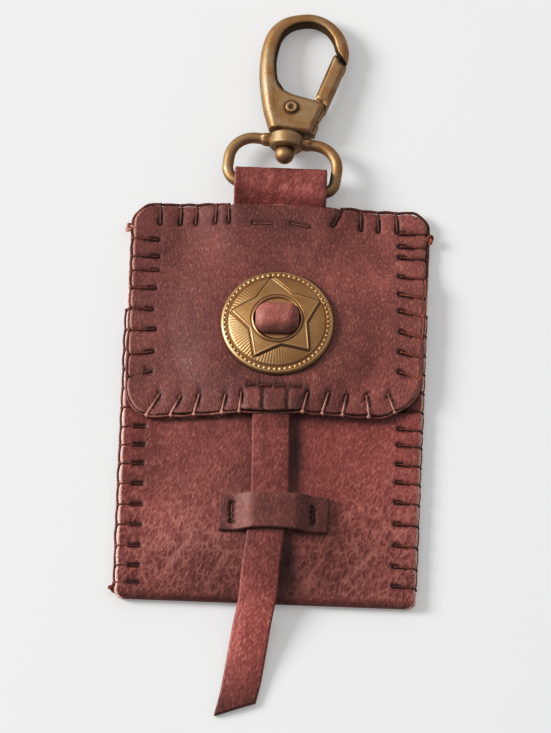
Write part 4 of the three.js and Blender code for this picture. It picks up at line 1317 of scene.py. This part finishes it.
def mark_relief(mesh, rounds=10, scale=0.16):
    """Writes how hollow or how raised each point lies against its neighbours, in a few widening rounds, with
    a darker ring round the pin and painted shade on the eye's inner walls and on faces turned down.
    """
    count = len(mesh.vertices)
    place = np.zeros(count * 3)
    normal = np.zeros(count * 3)
    mesh.vertices.foreach_get("co", place)
    mesh.vertices.foreach_get("normal", normal)
    place = place.reshape(-1, 3) / MM
    normal = normal.reshape(-1, 3)
    ends = np.zeros(len(mesh.edges) * 2, int)
    mesh.edges.foreach_get("vertices", ends)
    first, second = ends.reshape(-1, 2).T
    degree = np.bincount(first, minlength=count) + np.bincount(second, minlength=count)
    blurred = place.copy()
    for _ in range(rounds):
        total = np.zeros_like(blurred)
        for axis in range(3):
            total[:, axis] += np.bincount(first, blurred[second, axis], count)
            total[:, axis] += np.bincount(second, blurred[first, axis], count)
        blurred = total / np.maximum(degree, 1)[:, None]
    raised = np.einsum("ij,ij->i", place - blurred, normal)
    to_pivot = np.hypot(place[:, 0] - PIVOT[0], place[:, 1] - PIVOT[1])
    stain_and_shade = 0.6 * bell(to_pivot - PIN_STAIN_R, 0.4) * (np.abs(place[:, 2]) > BASE_FACE_Z)
    # Painted shade on the inner walls of the eye and on faces turned down.
    inward = np.einsum("ij,ij->i", normal[:, :2], unit(np.array(EYE) - place[:, :2]))
    stain_and_shade = np.maximum(stain_and_shade, 0.72 * smooth(inward, 0.4, 0.8) * (place[:, 1] > EYE_LOW_Y))
    stain_and_shade = np.maximum(stain_and_shade, 0.5 * smooth(-normal[:, 2], -0.1, 0.5))
    ridge = smooth(raised, 0.35 * scale, 1.3 * scale) * 0.75
    recess = np.maximum(smooth(-raised, 0.05 * scale, 0.9 * scale), stain_and_shade)
    add_layers(mesh, {"ridge": ridge, "recess": recess})


def cast(name, shells, voxel, smoothing, material, body, nodes):
    """Fuses closed shells into one cast body, rounds its edges and marks its ridges and recesses."""
    rough = make_object(name + "_rough", *join_shells(shells))
    remesh = rough.modifiers.new("fuse", "REMESH")
    remesh.mode = "VOXEL"
    remesh.voxel_size = voxel * MM
    soften = rough.modifiers.new("soften", "SMOOTH")
    soften.factor = 0.5
    soften.iterations = smoothing
    graph = bpy.context.evaluated_depsgraph_get()
    mesh = bpy.data.meshes.new_from_object(rough.evaluated_get(graph))
    bpy.data.objects.remove(rough)
    mesh.name = name
    mesh.materials.clear()
    mesh.materials.append(material)
    mark_relief(mesh)
    mesh.shade_smooth()
    mesh.transform(clip_matrix())
    return settle(add_object(name, mesh), body, nodes)


def arc(x, y, radius, start, end, count=10):
    turns = np.radians(np.linspace(start, end, count))
    return [(x + radius * math.cos(turn), y + radius * math.sin(turn), 0) for turn in turns]


def make_ring(material):
    """The wire ring, soldered into the collar that the hook turns in."""
    half, height = RING["half"], RING["height"]
    left, right, high = RING["low_left"], RING["low_right"], RING["high"]
    line = [(3.1, height, 0)]
    line += arc(half - high, height - high, high, 90, 0)
    line += arc(half - right, right, right, 0, -90)
    line += arc(left - half, left, left, 270, 180)
    line += arc(high - half, height - high, high, 180, 90)
    line += [(-3.1, height, 0)]
    outer, bore = COLLAR["outer"], COLLAR["bore"]
    tall, cut = COLLAR["length"] / 2, COLLAR["chamfer"]
    rows = [(bore, -tall), (outer - cut, -tall), (outer, cut - tall)]
    rows += [(outer, tall - cut), (outer - cut, tall), (bore, tall)]
    collar = lathe([(radius, height + rise) for radius, rise in rows])
    shells = [tube(even(line, 0.5), WIRE_R, 28, twist=0), collar]
    for side in (-1, 1):
        shells.append(capsule((side * 4.0, height, 0), (side * 5.3, height, 0), SOLDER_R))
        shells.append(capsule((side * 5.0, height + 0.2, 1.2), (side * 5.6, height + 0.2, 1.2), DRIP_R))
    return cast("swivel_ring_brass", shells, CAST_GRAIN, 4, material, "ring", ["swivel_ring"])


def make_hook(material):
    """The snap hook: a slotted base, the bow, and the stem with its ball end in the collar."""
    slot = SLOT["half"]
    shells = []
    for low, high in ((slot, BASE_HALF), (-BASE_HALF, -slot)):
        for inset, drop in BASE_STEPS:
            step_low, step_high = max(low, drop - BASE_HALF), min(high, BASE_HALF - drop)
            shells.append(plate(drawn_in(BASE_OUTLINE, inset), step_low, step_high, BASE_HUB))
    shells += [plate(outline, -slot - 0.1, slot + 0.1) for outline in (WEB, SPINE)]
    shells.append(bow_shell())
    ball = BALL["radius"]
    turns = np.linspace(-math.pi / 2, math.pi / 2, 15)
    profile = [(max(ball * math.cos(turn), 0.02), BALL["y"] + ball * math.sin(turn)) for turn in turns]
    neck = [point for point in profile if point[1] < BALL["y"] or point[0] > STEM_R]
    shells.append(lathe(neck + [(STEM_R, STEM_END_Y), (0.02, STEM_END_Y)], 40))
    return cast("snap_hook_brass", shells, CAST_GRAIN, 10, material, "hook", ["snap_hook"])


def make_gate(material):
    """The sprung gate: a thick bar on a thinner root that turns in the hook's slot."""
    shells = [plate(GATE_ROOT, -ROOT_HALF, ROOT_HALF)]
    for inset, drop in GATE_STEPS:
        shells.append(plate(drawn_in(GATE_BAR, inset), drop - GATE_HALF, GATE_HALF - drop))
    shells.append(plate(GATE_HEEL, -HEEL_HALF, HEEL_HALF))
    shells.append(plate(GATE_TIP, 0.2 - GATE_HALF, -0.5))
    return cast("gate_brass", shells, GATE_GRAIN, 18, material, "gate", ["gate"])


def make_pin(material):
    """The gate's rivet, with a hollow ring-shaped head at each end."""
    half, head, shaft = PIN["half"], PIN["head"], PIN["shaft"]
    rim = [(0.02, half - 0.14), (0.6, half - 0.14), (0.88, half - 0.05), (1.15, half), (1.34, half - 0.05)]
    rim += [(head, half - 0.2), (head, half - 0.55), (shaft, half - 0.6)]
    verts, faces = lathe(rim + [(radius, -rise) for radius, rise in rim[::-1]], 48)
    verts = verts[:, [0, 2, 1]] + np.array([*PIVOT, 0])
    from_middle = np.hypot(verts[:, 0] - PIVOT[0], verts[:, 1] - PIVOT[1])
    tones = {"recess": 0.6 * smooth(0.85 - from_middle, 0, 0.25)}
    tones["ridge"] = 0.4 * bell(from_middle - 1.15, 0.18)
    piece = make_object("gate_pin_brass", verts, faces, tones, material)
    piece.data.transform(clip_matrix())
    return settle(piece, "hook", ["gate_pin"])


# Stage: the floor and the lamp in metres, the camera's sizes in millimetres
FLOOR = {"half": 2.0, "z": -0.00003}
KEY_LIGHT = {"towards": (-0.84, 0.175, 0.495), "distance": 3.0, "size": 1.2, "power": 102}
WORLD_STRENGTH = 0.46
TONE_CURVE = [(0.1, 0.062), (0.25, 0.222), (0.5, 0.525), (0.86, 0.868)]
ELEVATION = math.radians(70)
AZIMUTH = math.radians(2.3)
AIM = Vector((0.23, 10.1, 3.0)) * MM
IMAGE_HEIGHT_MM = 183.25
LENS = 1000
SENSOR = 36


def add_floor():
    half, z = FLOOR["half"], FLOOR["z"]
    mesh = bpy.data.meshes.new("floor")
    corners = [(-half, -half, z), (half, -half, z), (half, half, z), (-half, half, z)]
    mesh.from_pydata(corners, [], [(0, 1, 2, 3)])
    mesh.materials.append(floor_material())
    floor = add_object("floor", mesh)


def add_key_light():
    """A round lamp at a distance from the wallet along a direction, aimed at it."""
    data = bpy.data.lights.new("key", "AREA")
    data.shape = "DISK"
    data.size = KEY_LIGHT["size"]
    data.energy = KEY_LIGHT["power"]
    lamp = add_object("key", data)
    lamp.location = Vector(KEY_LIGHT["towards"]).normalized() * KEY_LIGHT["distance"]
    lamp.rotation_euler = (-lamp.location).to_track_quat("-Z", "Y").to_euler()


def add_world():
    """Pale light all round, brighter from above and from behind the hook."""
    world = bpy.data.worlds.new("studio")
    bpy.context.scene.world = world
    world.use_nodes = True
    nodes = Nodes(world.node_tree)
    axes = nodes.add("SeparateXYZ", {0: nodes.add("TexCoord").outputs["Generated"]}).outputs
    from_behind = nodes.ramp(axes["Y"], -0.9, 0.9, 0.5, 1.5)
    light = nodes.times(from_behind, nodes.ramp(axes["Z"], -0.1, 1.0, 0.55, 1.25))
    background = world.node_tree.nodes["Background"]
    nodes.put(nodes.times(light, WORLD_STRENGTH), background.inputs["Strength"])
    background.inputs["Color"].default_value = (1, 1, 1, 1)


def set_tone():
    """The contrast of a printed photograph: deeper shadows, softer highlights."""
    view = bpy.context.scene.view_settings
    view.view_transform = "Standard"
    view.use_curve_mapping = True
    curve = view.curve_mapping.curves[3]
    for place, level in TONE_CURVE:
        curve.points.new(place, level)
    view.curve_mapping.update()


def add_camera():
    data = bpy.data.cameras.new("camera")
    data.sensor_width = SENSOR
    data.lens = LENS
    data.clip_start = 0.01
    distance = IMAGE_HEIGHT_MM * MM * LENS / SENSOR
    flat = math.cos(ELEVATION)
    back = Vector((flat * math.sin(AZIMUTH), -flat * math.cos(AZIMUTH), math.sin(ELEVATION)))
    camera = add_object("camera", data)
    camera.location = AIM + back * distance
    camera.rotation_euler = (-back).to_track_quat("-Z", "Y").to_euler()
    bpy.context.scene.camera = camera


# Finishes
# The seam tone is the colour of painted shade in holes, slots, grooves and folds.
PANEL_TONES = {"main": "#854D49", "deep": "#693935", "light": "#8E544E", "crease": "#AA796F"}
PANEL_TONES |= {"raw": "#F4D8CE", "raw_dark": "#B88478", "seam": "#30120E"}
FLAP_TONES = {"main": "#7E4E49", "deep": "#663F3B", "light": "#88584F", "crease": "#9F7369"}
FLAP_TONES |= {"raw": "#E4BEB2", "raw_dark": "#A06C60", "seam": "#321511"}
PANEL_GRAIN = {"fine": 0.42, "coarse": 1.5, "stretch": 2.0, "turn": math.radians(-22)}
PANEL_GRAIN |= {"cross": math.radians(12), "streaks": 0.5, "network": 0.55, "rough": 0.5, "bump": 0.6}
FLAP_GRAIN = {"fine": 0.33, "coarse": 1.2, "stretch": 2.0, "turn": math.radians(-10)}
FLAP_GRAIN |= {"cross": math.radians(14), "streaks": 0.6, "network": 0.5, "rough": 0.56, "bump": 0.7}
DARK_THREAD = {"dark": "#3C1812", "main": "#6A3428", "light": "#9A5C4A"}
COPPER_THREAD = {"dark": "#5A2A1E", "main": "#8E4E3A", "light": "#B87A62"}
LIGHT_THREAD = {"dark": "#5E342B", "main": "#8A584E", "light": "#A87A6E", "painted_highlight": "#B6877B"}
CONCHO_TONES = {"main": "#B4926E", "warm": "#AC865E", "bright": "#DCC4A0"}
CONCHO_TONES |= {"dark": "#4A321C", "stain_and_shade": "#987856"}
CLIP_TONES = {"main": "#AC947A", "warm": "#A2825E", "bright": "#CCB08C"}
CLIP_TONES |= {"dark": "#3E2C1E", "stain_and_shade": "#866848"}
CONCHO_ROUGH = 0.4
CLIP_ROUGH = 0.55
FLOOR_FINISH = {"Base Color": (0.61, 0.61, 0.61, 1), "Roughness": 0.9, "Specular IOR Level": 0.0}
# The floor's glow is painted light that keeps the shadows on it light.
FLOOR_FINISH |= {"Emission Color": (1, 1, 1, 1), "Emission Strength": 0.21}
# How deep the bump of each material is, in metres
BUMP_DEPTH = {"leather": 0.0001, "thread": 0.00008, "brass": 0.00006}
# Threads round the flap: how thick, how far off the edge, and how thick the purl is beside the legs
TOP_FIT = {"thick": 0.36, "off": 0.7}
SIDE_FIT = {"thick": 0.34, "off": 0.5}
LOW_FIT = {"thick": 0.42, "off": 0.5, "purl": 0.68}


def build():
    panel = leather_material("panel_leather", PANEL_TONES, PANEL_GRAIN)
    flap = leather_material("flap_leather", FLAP_TONES, FLAP_GRAIN)
    concho = brass_material("concho_brass", CONCHO_TONES, CONCHO_ROUGH)
    clip = brass_material("clip_brass", CLIP_TONES, CLIP_ROUGH)
    dark = thread_material("thread_dark", DARK_THREAD)
    light = thread_material("thread_light", LIGHT_THREAD)
    copper = thread_material("thread_copper", COPPER_THREAD)
    make_pouch(panel)
    make_flap(flap)
    make_ring(clip)
    make_clip_loop(panel)
    make_strap(panel)
    make_keeper(flap)
    make_tie(panel)
    make_concho(concho)
    make_hook(clip)
    make_gate(clip)
    make_pin(clip)
    over_pouch = (pouch_thread_top, back_level)
    over_both = (flap_thread_top, back_level)
    over_flap = (flap_thread_top, flap_thread_low)
    left_joins = (TOP_LEFT[0], None)
    low_joins = (FLAP_LEFT[-1], FLAP_RIGHT[-1])
    right_joins = (TOP_RIGHT[-1], None)
    blanket_thread("thread_pouch_left", POUCH_LEFT, POUCH, over_pouch, dark, 1, off=0.7)
    blanket_thread("thread_pouch_right", POUCH_RIGHT, POUCH, over_pouch, dark, 2)
    blanket_thread("thread_top_left", TOP_LEFT, FLAP, over_both, dark, 3, **TOP_FIT)
    blanket_thread("thread_top_right", TOP_RIGHT, FLAP, over_both, dark, 4, **TOP_FIT)
    blanket_thread("thread_flap_left", FLAP_LEFT, FLAP, over_flap, dark, 5, left_joins, **SIDE_FIT)
    blanket_thread("thread_flap_low", FLAP_LOW, FLAP, over_flap, light, 6, low_joins, **LOW_FIT)
    blanket_thread("thread_flap_right", FLAP_RIGHT, FLAP, over_flap, copper, 7, right_joins, **SIDE_FIT)
    dash_thread("thread_tab", TAB_DASHES, flap_thread_top, light, sunk=0.45)
    dash_thread("thread_strap", STRAP_DASHES, flap_thread_top, dark, sunk=0.45)
    dash_thread("thread_keeper", KEEPER_DASHES, keeper_thread_top, dark, sunk=0.95)
    knot_thread("knot_pouch", (-37.9, -49.6, 1.6), dark, size=1.0, turn=0.4)
    knot_thread("knot_flap_left", (-37.7, 45.9, 2.2), light, size=1.1, turn=1.3)
    knot_thread("knot_flap_right", (37.3, 45.7, 2.2), copper, size=1.1, turn=2.4)


build()
add_floor()
add_camera()
add_world()
add_key_light()
set_tone()
